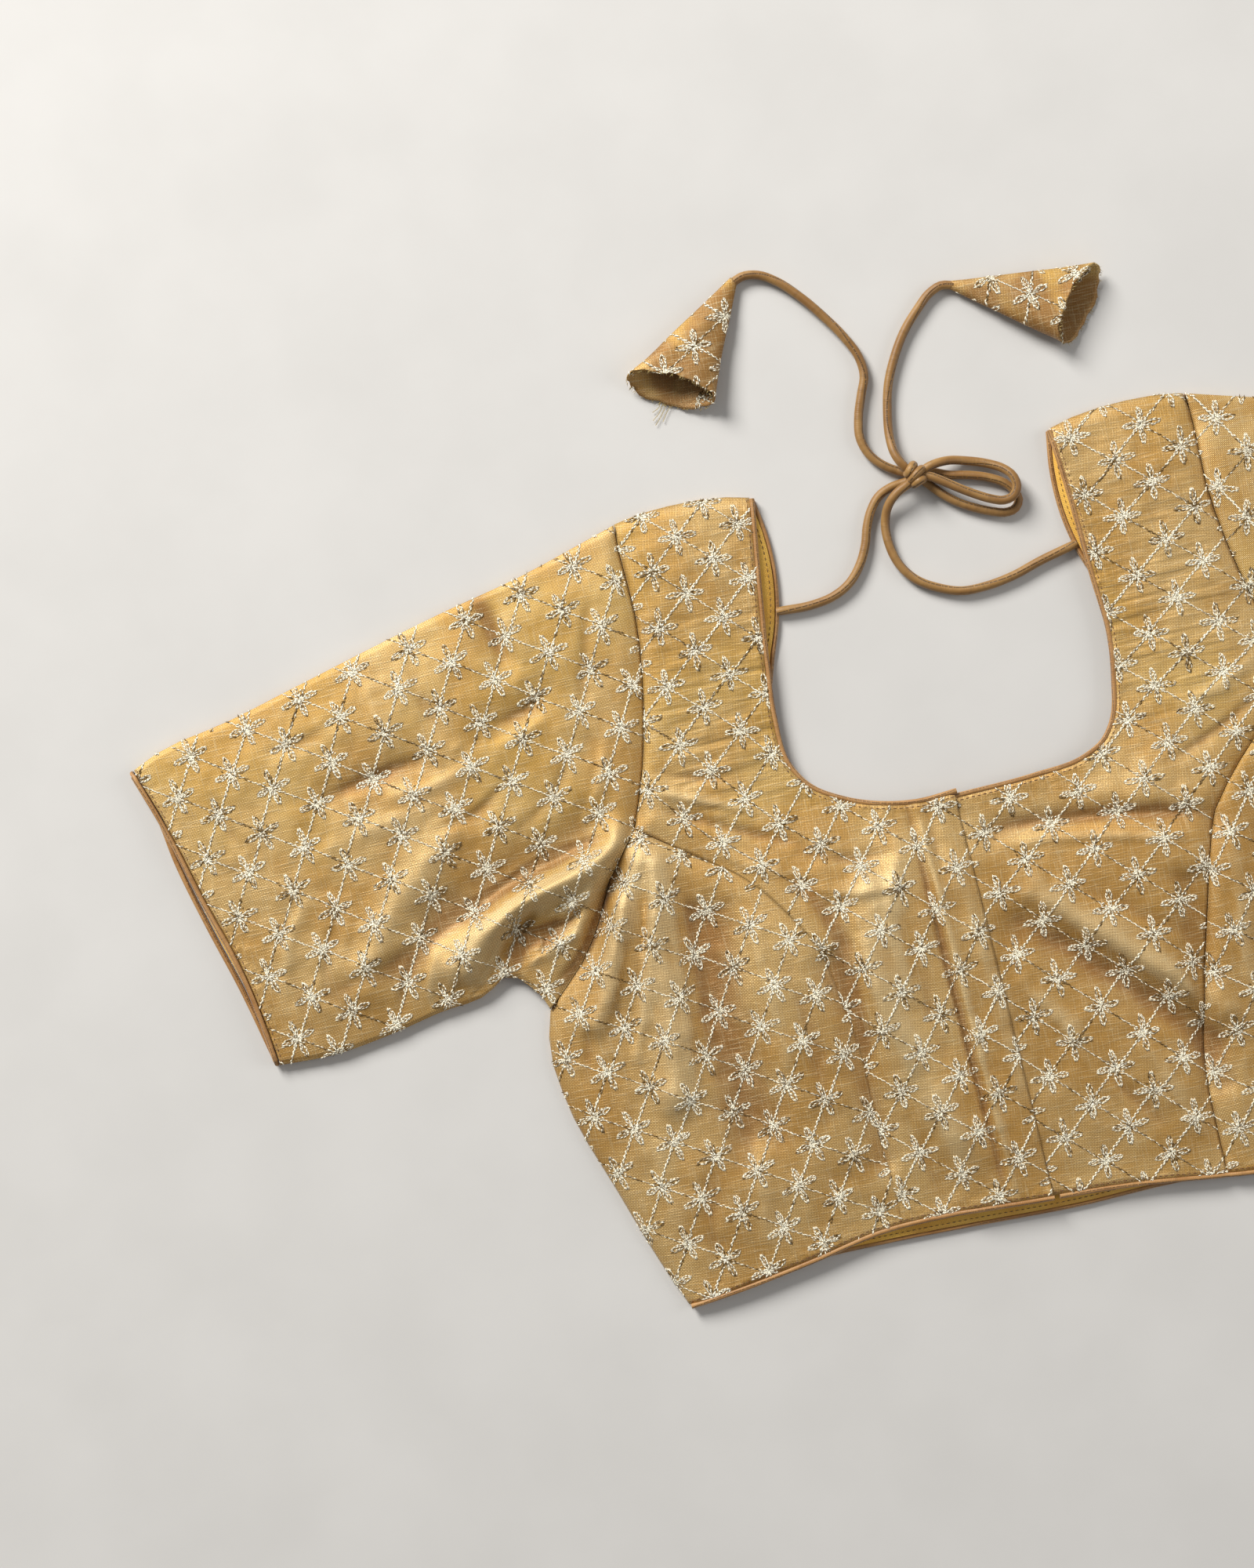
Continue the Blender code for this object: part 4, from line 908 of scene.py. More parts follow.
def knot_path():
    """Two turns of cord wound round the bow's waist, with both ends tucked in."""
    t = np.linspace(0, 1, 120)
    angle = t * KNOT_TURNS * 2 * math.pi + 0.6
    reach = 1 - 0.62 * (bell(t, KNOT_TUCK) + bell(1 - t, KNOT_TUCK))
    long_way, across, high = (np.array(KNOT["size"]) - KNOT_WRAP) / 2
    wind = [(2 * t - 1) * long_way, -np.cos(angle) * across * reach, np.sin(angle) * high * reach]
    turn, (middle,) = KNOT["turn"] + KNOT_FAN * (0.5 - t), place([KNOT["at"]])
    x = middle[0] + wind[0] * np.cos(turn) - wind[1] * np.sin(turn)
    y = middle[1] + wind[0] * np.sin(turn) + wind[1] * np.cos(turn)
    return np.column_stack([x, y, wind[2] + KNOT["size"][2] / 2 + 0.0001])


def cone_ring(tip, middle, first, second, share, angle, inside=0.0):
    """Points on a flattened cone of cloth, from its tip to its mouth."""
    axis = unit(middle - tip)
    across = np.array([-axis[1], axis[0]]) * TASSEL_TIP_WIDTH / 2
    mouth = (first - second) / 2
    mouth = mouth if mouth @ across > 0 else -mouth
    half = across + (mouth - across) * share[:, None]
    half = half * (1 - inside / np.linalg.norm(half, axis=1))[:, None]
    height = TASSEL_HEIGHT[0] + (TASSEL_HEIGHT[1] - TASSEL_HEIGHT[0]) * share
    bulge = np.sign(np.sin(angle)) * np.abs(np.sin(angle)) ** 0.75
    slant = -TASSEL_RIM_SLANT * np.sin(angle) * share**4
    xy = tip + (middle - tip) * share[:, None] + np.cos(angle)[:, None] * half + slant[:, None] * axis
    return np.column_stack([xy, height / 2 + (height / 2 - inside) * bulge])


def make_cone(name, seed):
    """A cone of the tissue: soft dents and an uneven raw mouth."""
    tip, first, second = place(TASSELS[name])
    middle = (first + second) / 2
    tip = tip - TASSEL_SOCKET * unit(middle - tip)

    def where(round_it, along):
        angle = round_it * 2 * math.pi
        spots = cone_ring(tip, middle, first, second, along, angle)
        wave = np.sin(angle * 3 + seed) * np.sin(along * 5 + seed)
        wave += 0.6 * np.sin(angle * 5 - along * 9 + seed)
        dent = 0.0006 * wave * along
        mid = cone_ring(tip, middle, first, second, along, angle, 0.002)
        inwards = (mid - spots) / 0.002
        ragged = along**10 * (0.0012 * np.sin(angle * 3 + seed) + 0.0004 * np.sin(angle * 14 + seed**2))
        axis = np.append(unit(middle - tip), 0)
        spots = spots + inwards * (0.0008 + dent)[:, None] - axis * np.abs(ragged)[:, None]
        spots[:, 2] = np.maximum(spots[:, 2], 0.0003)
        return spots

    bm, _ = shaped_grid(64, 48, where, wrap=True)
    bmesh.ops.recalc_face_normals(bm, faces=bm.faces)
    outward = sum((face.normal.z * (face.calc_center_median().z - 0.004)) for face in bm.faces)
    if outward < 0:
        bmesh.ops.reverse_faces(bm, faces=bm.faces)
    along = flat_places(bm) - tip
    axis = unit(middle - tip)
    sideways = (along @ np.array([axis[1], -axis[0]])) / (0.006 + 0.32 * np.abs(along @ axis))
    piece = finished(name + "_cloth", bm, tissue_for("cone"), [name])
    # Painted shade: each cone is darkened all over, and more on one side as set by CONE_SHADE
    shade = -1.05 - 0.8 * sideways * CONE_SHADE[name] + 0.45 * ripple(along, seed + 51, 0.012, 0.030)
    float_attribute(piece.data, "painted_light_shade", np.clip(shade, -1, 1))
    thicken(piece, TISSUE)
    return piece


def lay_tie(tie, word):
    """One tie, from the back neck through the bow into its cone."""
    heights = np.array(TIES[tie])[:, 2:]
    route = smooth(np.hstack([place(TIES[tie]), heights]), 0.0022)
    start = route[0] - (route[1] - route[0])
    route = np.vstack([start, route])
    width = np.full(len(route), CORD)
    width[:2] = TIE_START
    replaced = [f"tie_{part}_{word}" for part in ("run", "loop", "tail")]
    cord = finished(tie + "_cord", tube(route, width, 14), PAINTS["tie"], replaced)
    float(lengths(route)[-1])


knot = finished("tie_knot_wrap", tube(knot_path(), KNOT_WRAP, 14), PAINTS["tie"], ["tie_knot"])
cones = {name: make_cone(name, seed) for seed, name in enumerate(TASSELS)}
lay_tie("tie_left", "left")
lay_tie("tie_right", "right")


# Cloth panels


def fine_copy(name, keep, cuts, fine_above=-1.0):
    """A merged copy of part of a solid's skin, cut finer, and once more where it is above a height."""
    bm = bmesh.new()
    bm.from_mesh(nodes[name].data)
    bmesh.ops.remove_doubles(bm, verts=bm.verts, dist=1e-5)
    bm.normal_update()
    bmesh.ops.delete(bm, geom=[face for face in bm.faces if not keep(face)], context="FACES")
    for _ in range(cuts - 1):
        bmesh.ops.subdivide_edges(bm, edges=bm.edges, cuts=1, use_grid_fill=True)
    last = [edge for edge in bm.edges if min(vert.co.z for vert in edge.verts) > fine_above]
    bmesh.ops.subdivide_edges(bm, edges=last, cuts=1, use_grid_fill=True)
    return bm


def rim_beside(bm, points):
    """Each vertex of a sheet's rim, its place, the nearest point's number and its distance."""
    for vert in [vert for vert in bm.verts if vert.is_boundary]:
        spot = np.array(vert.co[:2])
        gaps = np.linalg.norm(points - spot, axis=1)
        yield vert, spot, gaps.argmin(), gaps.min()


def reach_piping(bm, lines):
    """Moves a panel's edge up to the piping that is sewn to it."""
    covered, widest = NEAR_PIPING
    fine = np.concatenate([at(line, np.linspace(0, 1, 600)) for line in lines])
    for vert, spot, best, gap in rim_beside(bm, fine):
        if covered < gap < widest:
            vert.co.xy = spot + (fine[best] - spot) * (1 - covered / gap)


def close_seam(bm, line, first_share):
    """Brings a panel's edge to its seam line, past this share of the line."""
    fine = at(line, np.linspace(first_share, 1, 900))
    for vert, _, best, gap in rim_beside(bm, fine):
        if gap < 0.0009 and 0 < best < len(fine) - 1:
            vert.co.xy = fine[best]


def faces_up(face):
    return face.normal.z > 0.3


def sheet_piece(name, bm, paint, thickness, flat, area, rests_on):
    """A cloth piece in place of its solid."""
    xy = flat_places(bm)
    piece = finished(name + "_cloth", bm, paint, [name])
    float_attribute(piece.data, "pucker", bell(nearest(xy, FREE_EDGES), PUCKER_REACH))
    if name in LATTICES:
        # Fold and crease heights, stored for the tissue's painted shade in valleys and painted highlight on
        # ridges
        painted_light_shade = fold_height(xy) / RELIEF_OF_FOLDS + crease_height(xy) / RELIEF_OF_CREASES
        float_attribute(piece.data, "painted_light_shade", np.clip(painted_light_shade, -1, 1))
    thicken(piece, thickness)
    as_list(rests_on)
    return piece


def front_panel(name, flat, area, rests_on):
    bm = fine_copy(name, faces_up, 3)
    reach_piping(bm, FREE_EDGES)
    if name.endswith("left"):
        close_seam(bm, smooth(place(PRINCESS[LEFT], LEFT), 0.002), PRINCESS_FADE[0])
    xy = flat_places(bm)
    height = lapped_height if name.endswith("left") else front_height
    for vert, z in zip(bm.verts, height(xy) + WALL):
        vert.co.z = z
    return sheet_piece(name, bm, tissue_for(name), TISSUE, flat, area, rests_on)


def sleeve_panel(name, flat, area, rests_on):
    side = LEFT if name.endswith("left") else RIGHT
    top, under = edge_of(SLEEVE_TOP, side), edge_of(SLEEVE_UNDER, side)
    count = 60
    middle = (at(top, np.linspace(0, 1, count)) + at(under, np.linspace(0, 1, count))) / 2
    axis_z = (FRONT_REST + WALL) / 2

    def outer(face):
        spot, normal = face.calc_center_median(), face.normal
        if abs(normal.z) > 0.45:
            return (spot.z - axis_z) * normal.z > 0
        away = np.array(spot[:2]) - middle[np.linalg.norm(middle - np.array(spot[:2]), axis=1).argmin()]
        along = unit(middle[-1] - middle[0])
        if abs(along @ np.array(normal[:2])) > 0.8:
            return False
        return away @ np.array(normal[:2]) > 0

    bm = fine_copy(name, outer, 3, axis_z)
    xy = flat_places(bm)
    z = np.array([vert.co.z for vert in bm.verts])
    edge = nearest(xy, [top, under])
    share = eased(ramp(edge, 0.0030, 0.0060)) * (z > axis_z + 0.001)
    for vert, new_z, part in zip(bm.verts, front_height(xy) + WALL, share):
        vert.co.z += (new_z - vert.co.z) * part
    return sheet_piece(name, bm, tissue_for(name), TISSUE, flat, area, rests_on)


skin, cloth = fine_copy("back_panel", faces_up, 1), tissue_for("front_centre_right")
sheet_piece("back_panel", skin, cloth, BACK_CLOTH, (0.472, 0.392), 0.126, ["floor"])
NECK_BACK_LINE = smooth(np.vstack([place(NECK_BACK, LEFT), place(NECK_BACK)[::-1][1:]]), FINE)
HEM_BACK_LINE = fine_edge(HEM_BACK)
BACK_EDGES = [NECK_BACK_LINE, HEM_BACK_LINE]


def lining_skin():
    """The back's lining, raised a little beside the piping, where it shows."""
    bm = fine_copy("back_lining", faces_up, 2)
    reach_piping(bm, BACK_EDGES)
    xy = flat_places(bm)
    for vert, edge in zip(bm.verts, nearest(xy, BACK_EDGES)):
        vert.co.z += LINING_RISE * bell(max(edge - LINING_RISE_FROM, 0), LINING_RISE_REACH)
    return bm


def lining_sheet(name, bm, flat, area, rests_on):
    return sheet_piece(name, bm, PAINTS["lining"], LINING_CLOTH, flat, area, rests_on)


def cuff_lining(word):
    name, sleeve = "cuff_lining_" + word, f"sleeve_{word}_cloth"
    return lining_sheet(name, fine_copy(name, faces_up, 1), (0.148, 0.034), 0.0046, [sleeve])


back_lining = lining_sheet("back_lining", lining_skin(), (0.456, 0.382), 0.117, ["back_panel_cloth"])
panels = {
    name: (sleeve_panel if name.startswith("sleeve") else front_panel)(name, flat, area, [under])
    for name, flat, area, under in (
        ("front_side_left", (0.152, 0.236), 0.0262, "back_lining_cloth"),
        ("front_side_right", (0.157, 0.237), 0.0266, "back_lining_cloth"),
        ("front_centre_right", (0.204, 0.386), 0.0390, "back_lining_cloth"),
        ("front_centre_left", (0.162, 0.377), 0.0290, "front_centre_right_cloth"),
        ("sleeve_left", (0.385, 0.272), 0.083, "back_panel_cloth"),
        ("sleeve_right", (0.385, 0.272), 0.083, "back_panel_cloth"),
    )
}
linings = {word: cuff_lining(word) for word in ("left", "right")}


# Piping


def piping_route(edge, lift, short=0.0):
    line = moved_left(edge, PIPING / 2 + PIPING_EDGE)
    share = short / lengths(line)[-1]
    line = at(line, np.linspace(share, 1 - share, len(line)))
    return np.column_stack([line, lift(line)])


def flat_at(height):
    return lambda xy: np.full(len(xy), height)


def on_front(height):
    return lambda xy: np.maximum(height(xy) + WALL / 2, PIPING_CROSSING)


def hem_stretch(first_x, last_x):
    """The stretch of the front hem between two places across, from left to right."""
    line = fine_edge(HEM_FRONT)
    return line[(line[:, 0] >= first_x) & (line[:, 0] <= last_x)]


def longer(line, part):
    """A line carried on past its end by this part of its last three steps."""
    return np.vstack([line, line[-1] + (line[-1] - line[-4]) * part])


def cuff_route(side):
    front, back_edge = (fine_edge(rows, side) for rows in (CUFF_FRONT, CUFF_BACK))
    axis = place(SLEEVE_TOP, side)
    axis = unit(axis[-1] - axis[0])
    along = unit(front[-1] - front[0])
    roll = (FRONT_REST + WALL) / 2
    lines = []
    for line in (front, back_edge):
        share = roll / lengths(line)[-1]
        lines.append(at(line, np.linspace(share, 1 - share, len(line))) - axis * (PIPING / 2 + PIPING_EDGE))
    top, bottom = lines
    upper = np.column_stack([top, np.maximum(front_height(top) + WALL / 2, PIPING_CROSSING)])
    lower = np.column_stack([bottom, np.full(len(bottom), PIPING_LOW)])[::-1]
    turn = np.array([*(along * roll * 0.7), 0])
    ends = (upper[-1] + lower[0]) / 2 + turn, (upper[0] + lower[-1]) / 2 - turn
    return np.vstack([upper, ends[0], lower, ends[1]])


left_neck, right_neck = (fine_edge(NECK_FRONT[side], side) for side in BOTH)
on_left, on_right, on_back = on_front(lapped_height), on_front(front_height), flat_at(PIPING_LOW)
PIPINGS = {
    "neck_piping_left": longer(piping_route(left_neck[::-1], on_left, SHORT_END)[::-1], 0.22)[::-1],
    "neck_piping_right": longer(piping_route(right_neck, on_right, SHORT_END), 0.5),
    "neck_piping_back": piping_route(NECK_BACK_LINE[::-1], on_back, SHORT_END),
    "hem_piping_left": piping_route(hem_stretch(-HEM_END, LAP_EDGE["hem"] + 0.0020), on_left),
    "hem_piping_right": piping_route(hem_stretch(LAP_EDGE["hem"] + 0.0005, HEM_END), on_right),
    "hem_piping_back": piping_route(HEM_BACK_LINE, on_back, SHORT_END),
    "cuff_piping_left": cuff_route(LEFT),
    "cuff_piping_right": cuff_route(RIGHT),
}
for name, route in PIPINGS.items():
    piping = tube(route, PIPING, 10, name.startswith("cuff"))
    finished(name + "_cloth", piping, PAINTS["piping"], [name])


# Stitches


def grain_mesh():
    """One stitch of unit length, width and height, along X: its points and triangles."""
    bm = bmesh.new()
    turned = Matrix.Rotation(math.pi / 2, 4, "Y")
    bmesh.ops.create_uvsphere(bm, u_segments=4, v_segments=2, radius=0.5, matrix=turned)
    bmesh.ops.triangulate(bm, faces=bm.faces)
    points = np.array([vert.co[:] for vert in bm.verts])
    faces = np.array([[vert.index for vert in face.verts] for face in bm.faces])
    bm.free()
    return points, faces


GRAIN_POINTS, GRAIN_FACES = grain_mesh()


def on_surface(tree, xy):
    """Where the spots lie on a surface, and its normals there; spots off it are dropped."""
    spots, normals, kept = [], [], []
    for k, (x, y) in enumerate(xy):
        spot, normal, _, _ = tree.ray_cast((x, y, 0.1), (0, 0, -1), 0.2)
        if spot is not None:
            spots.append(spot)
            normals.append(normal)
            kept.append(k)
    return np.array(spots).reshape(-1, 3), np.array(normals).reshape(-1, 3), np.array(kept, int)


def stitches(name, spots, normals, headings, sizes, glints, paint):
    """One mesh of stitches, each along its heading and lying on its surface."""
    along = headings - (headings * normals).sum(1)[:, None] * normals
    along /= np.linalg.norm(along, axis=1)[:, None]
    beside_it = np.cross(normals, along)
    local = GRAIN_POINTS[None] * sizes[:, None, :]
    points = (
        spots[:, None]
        + local[..., 0:1] * along[:, None]
        + local[..., 1:2] * beside_it[:, None]
        + local[..., 2:3] * normals[:, None]
    ).reshape(-1, 3)
    faces = (GRAIN_FACES[None] + np.arange(len(spots))[:, None, None] * len(GRAIN_POINTS)).reshape(-1, 3)
    mesh = bpy.data.meshes.new(name)
    mesh.vertices.add(len(points))
    mesh.vertices.foreach_set("co", points.astype(np.float32).ravel())
    mesh.loops.add(faces.size)
    mesh.loops.foreach_set("vertex_index", faces.ravel().astype(np.int32))
    mesh.polygons.add(len(faces))
    mesh.polygons.foreach_set("loop_start", np.arange(0, faces.size, 3, dtype=np.int32))
    mesh.update()
    float_attribute(mesh, "glint", np.repeat(glints, len(GRAIN_POINTS)))
    return finished_mesh(name, mesh, paint, sharp=180)


def petal(start, end, half_width, links):
    """Stitches round one leaf that points along X: (x, y, heading) rows."""
    rows = []
    reach = end - start

    def off(share):
        return half_width * math.sin(math.pi * share**1.2) ** 0.8

    for hand in BOTH:
        for share in (np.arange(links) + 0.5) / links:
            here, ahead = hand * off(share), hand * off(share + 0.04)
            rows.append((start + reach * share, here, math.atan2(ahead - here, reach * 0.04)))
    return rows


def star_cell(first, second, rng):
    """One star and the two rows of chain stitch that leave it, as rows of x, y, heading, length,
    width, and -1 or 1 for the finer and the bolder row, which shifts the rows' painted glint in opposite
    ways."""
    rows = []
    angles = [math.atan2(step[1], step[0]) for step in (first, second)]
    for angle, step, bold, tone in zip(angles, (first, second), (0.74, 1.06), BOTH):
        length = math.hypot(*step)
        links = round(length / LINK)
        for k in range(links):
            for hand in BOTH:
                spot, off = (k + 0.5 + 0.22 * hand) * length / links, hand * 0.00027 * bold
                rows.append((spot, off, 0.17 * hand, angle, LINK * 1.15, 0.00084 * bold, tone))
        for turn in (0, math.pi):
            for x, y, heading in petal(0.0008, 0.0054 + rng.normal(0, 0.0004), 0.00080, 2):
                rows.append((x, y, heading, angle + turn, 0.0021, 0.00074, 0))
    bisector = (angles[0] + angles[1]) / 2
    for quarter in range(4):
        angle = bisector + quarter * math.pi / 2 + rng.normal(0, 0.06)
        for x, y, heading in petal(0.0012, 0.0093 + rng.normal(0, 0.0005), 0.00112, 5):
            for hand in BOTH:
                spot = y + hand * 0.00030
                lean = heading + 0.16 * hand + rng.normal(0, 0.13)
                rows.append((x + hand * 0.0002, spot, lean, angle, 0.0026, 0.00068, 0))
        for x in (0.0032, 0.0054):
            rows.append((x, 0.0, rng.normal(0, 0.2), angle, 0.0026, 0.00060, 0))
    for k in range(8):
        rows.append((0.0011, 0.0, 0.0, bisector + k * math.pi / 4 + 0.2, 0.0023, 0.00084, 0))
    table = np.array(rows)
    cos, sin = np.cos(table[:, 3]), np.sin(table[:, 3])
    x = table[:, 0] * cos - table[:, 1] * sin
    y = table[:, 0] * sin + table[:, 1] * cos
    return np.column_stack([x, y, table[:, 2] + table[:, 3], table[:, 4:]])


def surface_of(piece):
    return BVHTree.FromObject(piece, bpy.context.evaluated_depsgraph_get())


def zari(name, tree, table, rng, lowest=0.0):
    """Metal thread stitches on a surface, from a star cell's rows."""
    table[:, :2] += rng.normal(0, 0.00012, (len(table), 2))
    spots, normals, kept = on_surface(tree, table[:, :2])
    high = spots[:, 2] > lowest
    spots, normals, kept = spots[high], normals[high], kept[high]
    table = table[kept]
    headings = np.column_stack([np.cos(table[:, 2]), np.sin(table[:, 2]), np.zeros(len(table))])
    spots = spots + normals * rng.uniform(0.00008, 0.00028, len(table))[:, None]
    tilt = normals + rng.normal(0, 0.15, normals.shape)
    tilt /= np.linalg.norm(tilt, axis=1)[:, None]
    scale = rng.uniform(0.88, 1.15, len(table))
    sizes = np.column_stack([table[:, 3] * scale, table[:, 4] * scale, table[:, 4] * 0.6])
    # Painted glint: each stitch's brightness is random, and the two rows of each star turn brighter or
    # darker by place, standing in for reflections
    turned = ripple(table[:, :2], 31, 0.050, 0.120) * 0.20 + 0.10
    glints = rng.beta(1.5, 1.0, len(table)) + table[:, 5] * turned
    glints = np.clip(glints + 0.14 * ripple(table[:, :2], 32, 0.018, 0.050), 0, 1)
    return stitches(name, spots, tilt, headings, sizes, glints, PAINTS["zari"])


def lattice_fit(row):
    """One star's place and the two steps from star to star."""
    across, down, *turns = row
    steps = []
    for angle, length in (turns[:2], turns[2:]):
        angle = -math.radians(angle)
        steps.append(length * np.array([math.cos(angle), math.sin(angle)]))
    return place([(across, down)])[0], np.array(steps)


def star_places(rows, meeting):
    """A function of a star's row and column numbers that says where it lies. Where there are two
    fits, the lower one turns softly into the strap's."""
    fits = [lattice_fit(row) for row in rows]
    counts = [(meeting - origin) @ np.linalg.inv(steps) for origin, steps in fits]
    shifts = [np.rint(counts[0] - count) for count in counts]

    def spot(i, j):
        spots = [origin + (np.array([i, j]) - shift) @ steps for (origin, steps), shift in zip(fits, shifts)]
        down = SHOULDER_Y - (spots[0][1] + spots[-1][1]) / 2
        share = eased(ramp(down, STRAP_END, BODICE_START - STRAP_END))
        return share * spots[0] + (1 - share) * spots[-1]

    return spot


def star_lattice(spot, low, high, rng):
    """Rows of stitches for all the stars whose centres are near this box."""
    cells = []
    for i in range(-32, 33):
        for j in range(-32, 33):
            here = spot(i, j)
            if (here > low - STAR_MARGIN).all() and (here < high + STAR_MARGIN).all():
                rows = star_cell(spot(i + 1, j) - here, spot(i, j + 1) - here, rng)
                rows[:, :2] += here + rng.normal(0, STAR_JITTER, 2)
                cells.append(rows)
    return np.concatenate(cells)


def embroider(name, piece, seed):
    """Stars and rows of chain stitch on the upper face of a panel."""
    rng = np.random.default_rng(seed)
    low, high = (np.array(corner[:2]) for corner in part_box(name))
    side = LEFT if name.endswith("left") else RIGHT
    (meeting,) = place([ROWS_MEET], side)
    table = star_lattice(star_places(LATTICES[name], meeting), low, high, rng)
    return zari(name.replace("front_", "") + "_stars", surface_of(piece), table, rng)


def sewn_row(name, line, pieces, paint):
    """A row of running stitches on these pieces."""
    rng = np.random.default_rng(1)
    run = lengths(line)[-1]
    count = int(run / SEWN_PITCH)
    shares = (np.arange(count) + 0.5) / count
    xy = at(line, shares)
    ahead = at(line, np.clip(shares + 0.001 / run, 0, 1)) - at(line, np.clip(shares - 0.001 / run, 0, 1))
    spots, normals, headings = [], [], []
    for tree in [surface_of(piece) for piece in pieces]:
        there, facing, kept = on_surface(tree, xy)
        spots.append(there)
        normals.append(facing)
        headings.append(np.column_stack([ahead[kept], np.zeros(len(kept))]))
    spots, normals, headings = (np.concatenate(rows) for rows in (spots, normals, headings))
    wide = np.full(len(spots), SEWN_WIDTH)
    sizes = np.column_stack([rng.uniform(0.9, 1.1, len(spots)) * SEWN_LENGTH, wide, wide])
    spots = spots + normals * SEWN_WIDTH * 0.15
    return stitches(name, spots, normals, headings, sizes, np.ones(len(spots)), paint)


def embroider_cone(name, piece, rng):
    """Part of the star lattice on the outside of a cone, turned to its own axis."""
    tip, first, second = place(TASSELS[name])
    axis = ((first + second) / 2 - tip) / CONE_LENGTH
    ahead, across = axis + CONE_LEAN * np.array([axis[1], -axis[0]]), np.array([axis[1], -axis[0]])
    centre = tip + axis * CONE_STAR
    low, high = np.min([tip, first, second], axis=0) - 0.004, np.max([tip, first, second], axis=0) + 0.004
    stars = star_lattice(lambda i, j: centre + CONE_STEP * (i * ahead + j * across), low, high, rng)
    zari(name + "_stars", surface_of(piece), stars, rng, TASSEL_HEIGHT[0] * 0.6)


def fray(name, rng, count=80):
    """Short raw threads round a cone's mouth."""
    tip, first, second = place(TASSELS[name])
    middle = (first + second) / 2
    angle = rng.uniform(0, 2 * math.pi, count)
    spots = cone_ring(tip, middle, first, second, np.full(count, 0.995), angle, 0.0010)
    axis = np.append(unit(middle - tip), 0)
    headings = axis + rng.normal(0, 0.45, (count, 3)) * (1, 1, 0.4)
    spots[:, 2] = np.maximum(spots[:, 2], 0.0006)
    wide = np.full(count, FRAYED_THREAD)
    sizes = np.column_stack([rng.uniform(0.0014, 0.0040, count), wide, wide])
    up, gold = np.tile((0.0, 0.0, 1.0), (count, 1)), PAINTS["gold_thread"]
    stitches(name + "_fray", spots, up, headings, sizes, np.ones(count), gold)


def loose_threads(name, reaches):
    """Long threads that hang from a cone's mouth and lie on the surface."""
    tip, first, second = place(TASSELS[name])
    axis = ((first + second) / 2 - tip) / CONE_LENGTH
    across = np.array([-axis[1], axis[0]])
    for k, reach in enumerate(reaches):
        start = (first + second) / 2 + across * 0.0009 * (k - 1)
        line = [start + axis * reach * part for part in (-0.35, 0.35, 0.7, 1.0)]
        line[1] = line[1] + across * 0.0010 * (k - 1)
        line[2] = line[2] + across * (0.0007 * (k - 1) + 0.0008)
        line[3] = line[3] + across * 0.0014 * (k - 1)
        flat = smooth(np.array(line), 0.0015)
        thread = tube(np.column_stack([flat, np.full(len(flat), 0.0008)]), LOOSE_THREAD, 6)
        finished(f"{name}_loose_thread_{k}", thread, PAINTS["gold_thread"])


def sew_side(side, word):
    """Rows of running stitch beside the piping of one side's neck, cuff and hem, and in its cuff."""
    centre, outer, sleeve = (panels[f"{part}_{word}"] for part in ("front_centre", "front_side", "sleeve"))
    cuff_front, cuff_back = (fine_edge(rows, side) for rows in (CUFF_FRONT, CUFF_BACK))
    neck = fine_edge(NECK_FRONT[side], side)
    hem = hem_stretch(*sorted((side * HEM_END, LAP_EDGE["hem"])))
    brown = PAINTS["brown_thread"]
    sewn_row("neck_stitches_" + word, moved_left(neck, side * BESIDE_PIPING), [centre], brown)
    cuff = moved_left(cuff_front, -side * (BESIDE_PIPING + CUFF_MARGIN))
    sewn_row("cuff_stitches_" + word, cuff, [sleeve], brown)
    sewn_row("hem_stitches_" + word, moved_left(hem, BESIDE_PIPING), [centre, outer], brown)
    inside = moved_left(cuff_back, -side * INSIDE_CUFF)
    thread = PAINTS["lining_thread"]
    sewn_row("cuff_lining_stitches_" + word, inside, [linings[word]], thread)


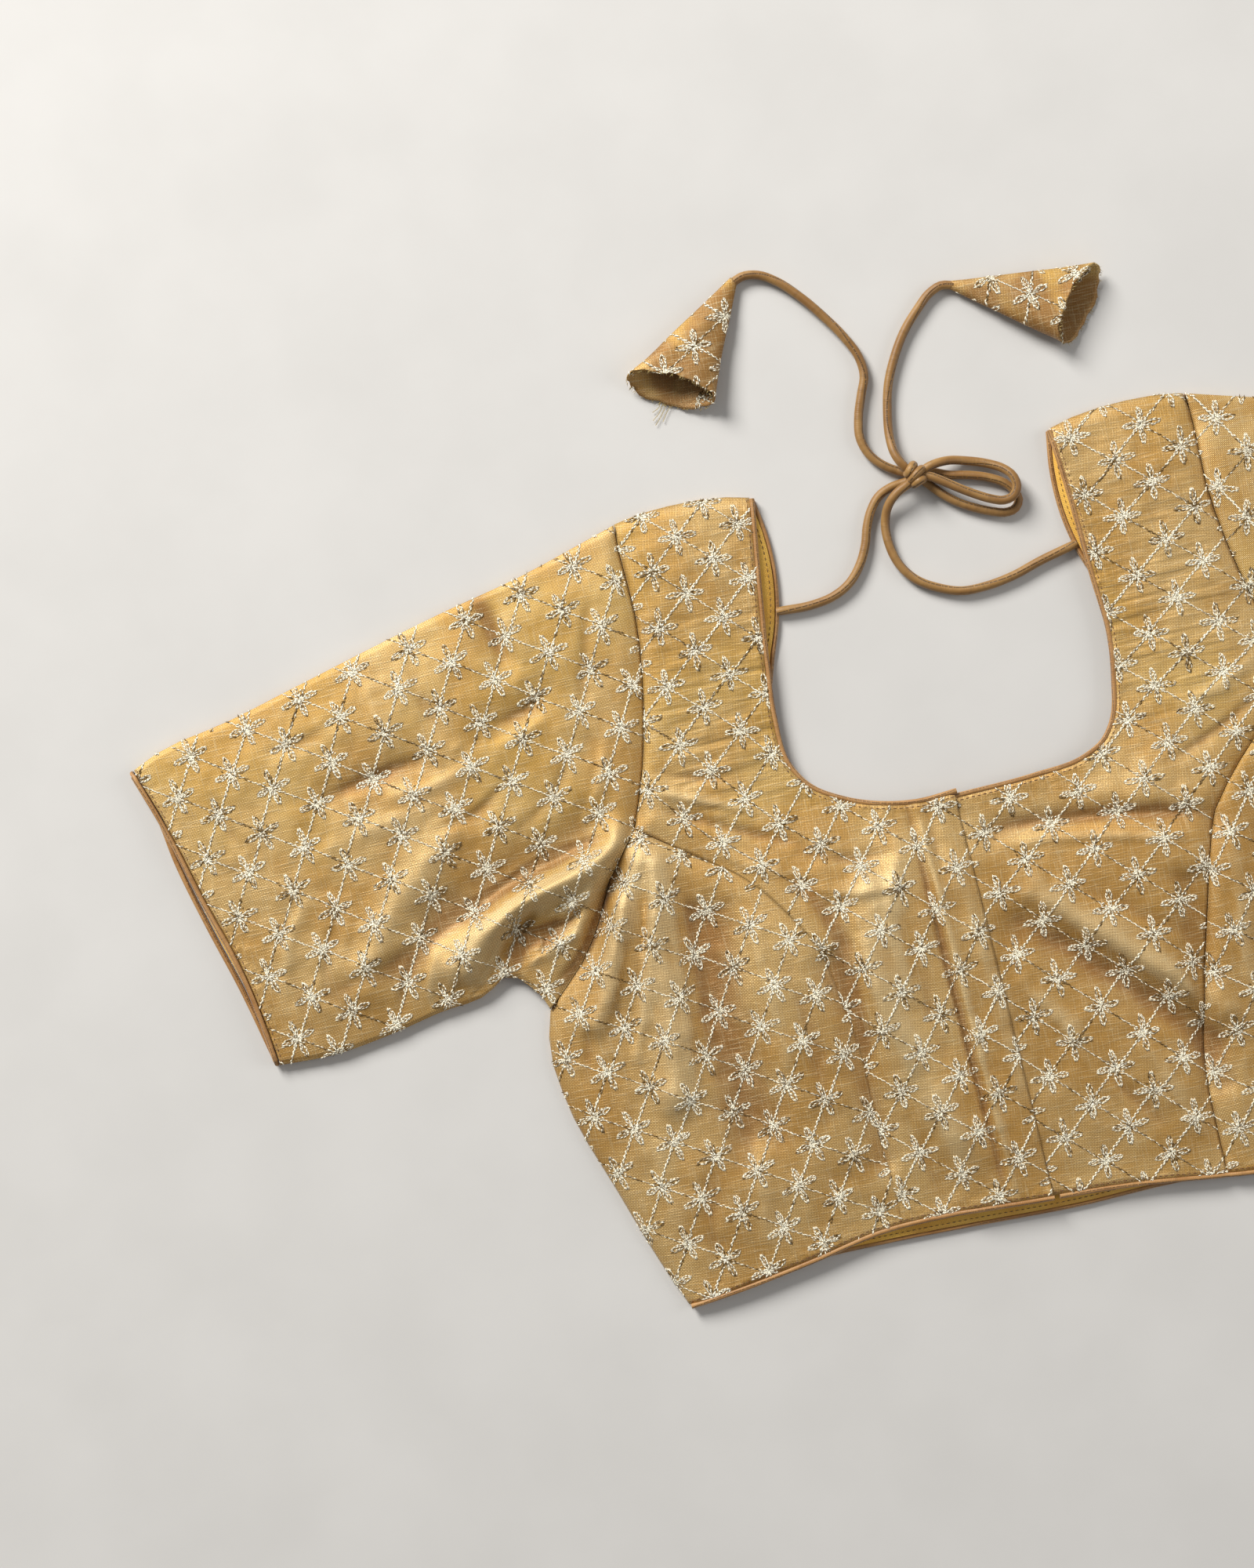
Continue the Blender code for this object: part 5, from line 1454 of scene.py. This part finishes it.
for seed, (name, piece) in enumerate(panels.items()):
    embroider(name, piece, seed + 10)
for name, piece in cones.items():
    rng = np.random.default_rng(len(name))
    embroider_cone(name, piece, rng)
    fray(name, rng)
    loose_threads(name, THREAD_REACHES[name])
for side, word in ((LEFT, "left"), (RIGHT, "right")):
    sew_side(side, word)
for name, edge, amount in (
    ("back_neck_stitches", NECK_BACK_LINE, -INSIDE_PIPING),
    ("back_hem_stitches", HEM_BACK_LINE, INSIDE_PIPING),
):
    inside = moved_left(edge, amount)
    sewn_row(name, inside, [back_lining], PAINTS["lining_thread"])


# Floor and light


def make_floor():
    def where(x, y):
        return np.column_stack([(x - 0.5) * 6, (y - 0.5) * 6, np.full(len(x), -0.0004)])

    bm, _ = shaped_grid(1, 1, where)
    mesh = bpy.data.meshes.new("floor")
    bm.to_mesh(mesh)
    bm.free()
    paint = Paint("pale_floor", Roughness=0.7)
    grain = paint.noise(paint.places(), 14.0, 4.0).step(0.2, 0.8)
    paint.set(Base_Color=paint.blend(grain, (0.60, 0.59, 0.57, 1), (0.64, 0.63, 0.61, 1)))
    mesh.materials.append(paint.material)
    floor = bpy.data.objects.new("floor", mesh)
    bpy.context.scene.collection.objects.link(floor)
    floor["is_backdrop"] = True


def soft_light(name, across, up, height, size, power, warmth):
    """An area light placed by the image's own directions, aimed at the blouse."""
    data = bpy.data.lights.new(name, "AREA")
    data.shape = "DISK"
    data.size = size
    data.energy = power
    data.color = warmth
    light = bpy.data.objects.new(name, data)
    bpy.context.scene.collection.objects.link(light)
    spot = IMAGE_RIGHT * across + IMAGE_UP * up
    light.location = (*spot, height)
    aim = Vector((-0.08, 0.04, 0.0)) - light.location
    light.rotation_euler = aim.to_track_quat("-Z", "Y").to_euler()


make_floor()
soft_light("key", -2.0, 2.3, 2.0, 1.6, 186.0, (1.0, 0.98, 0.95))
soft_light("fill", 1.9, 0.3, 1.2, 1.4, 12.0, (1.0, 0.98, 0.96))
world = bpy.data.worlds.new("studio")
world.use_nodes = True
world.node_tree.nodes["Background"].inputs[0].default_value = (0.98, 0.97, 0.96, 1.0)
world.node_tree.nodes["Background"].inputs[1].default_value = 0.25
bpy.context.scene.view_settings.view_transform = "Standard"
bpy.context.scene.world = world

visual_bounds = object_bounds()
[[list(map(float, corner)) for corner in box] for box in (cad_bounds, visual_bounds)]
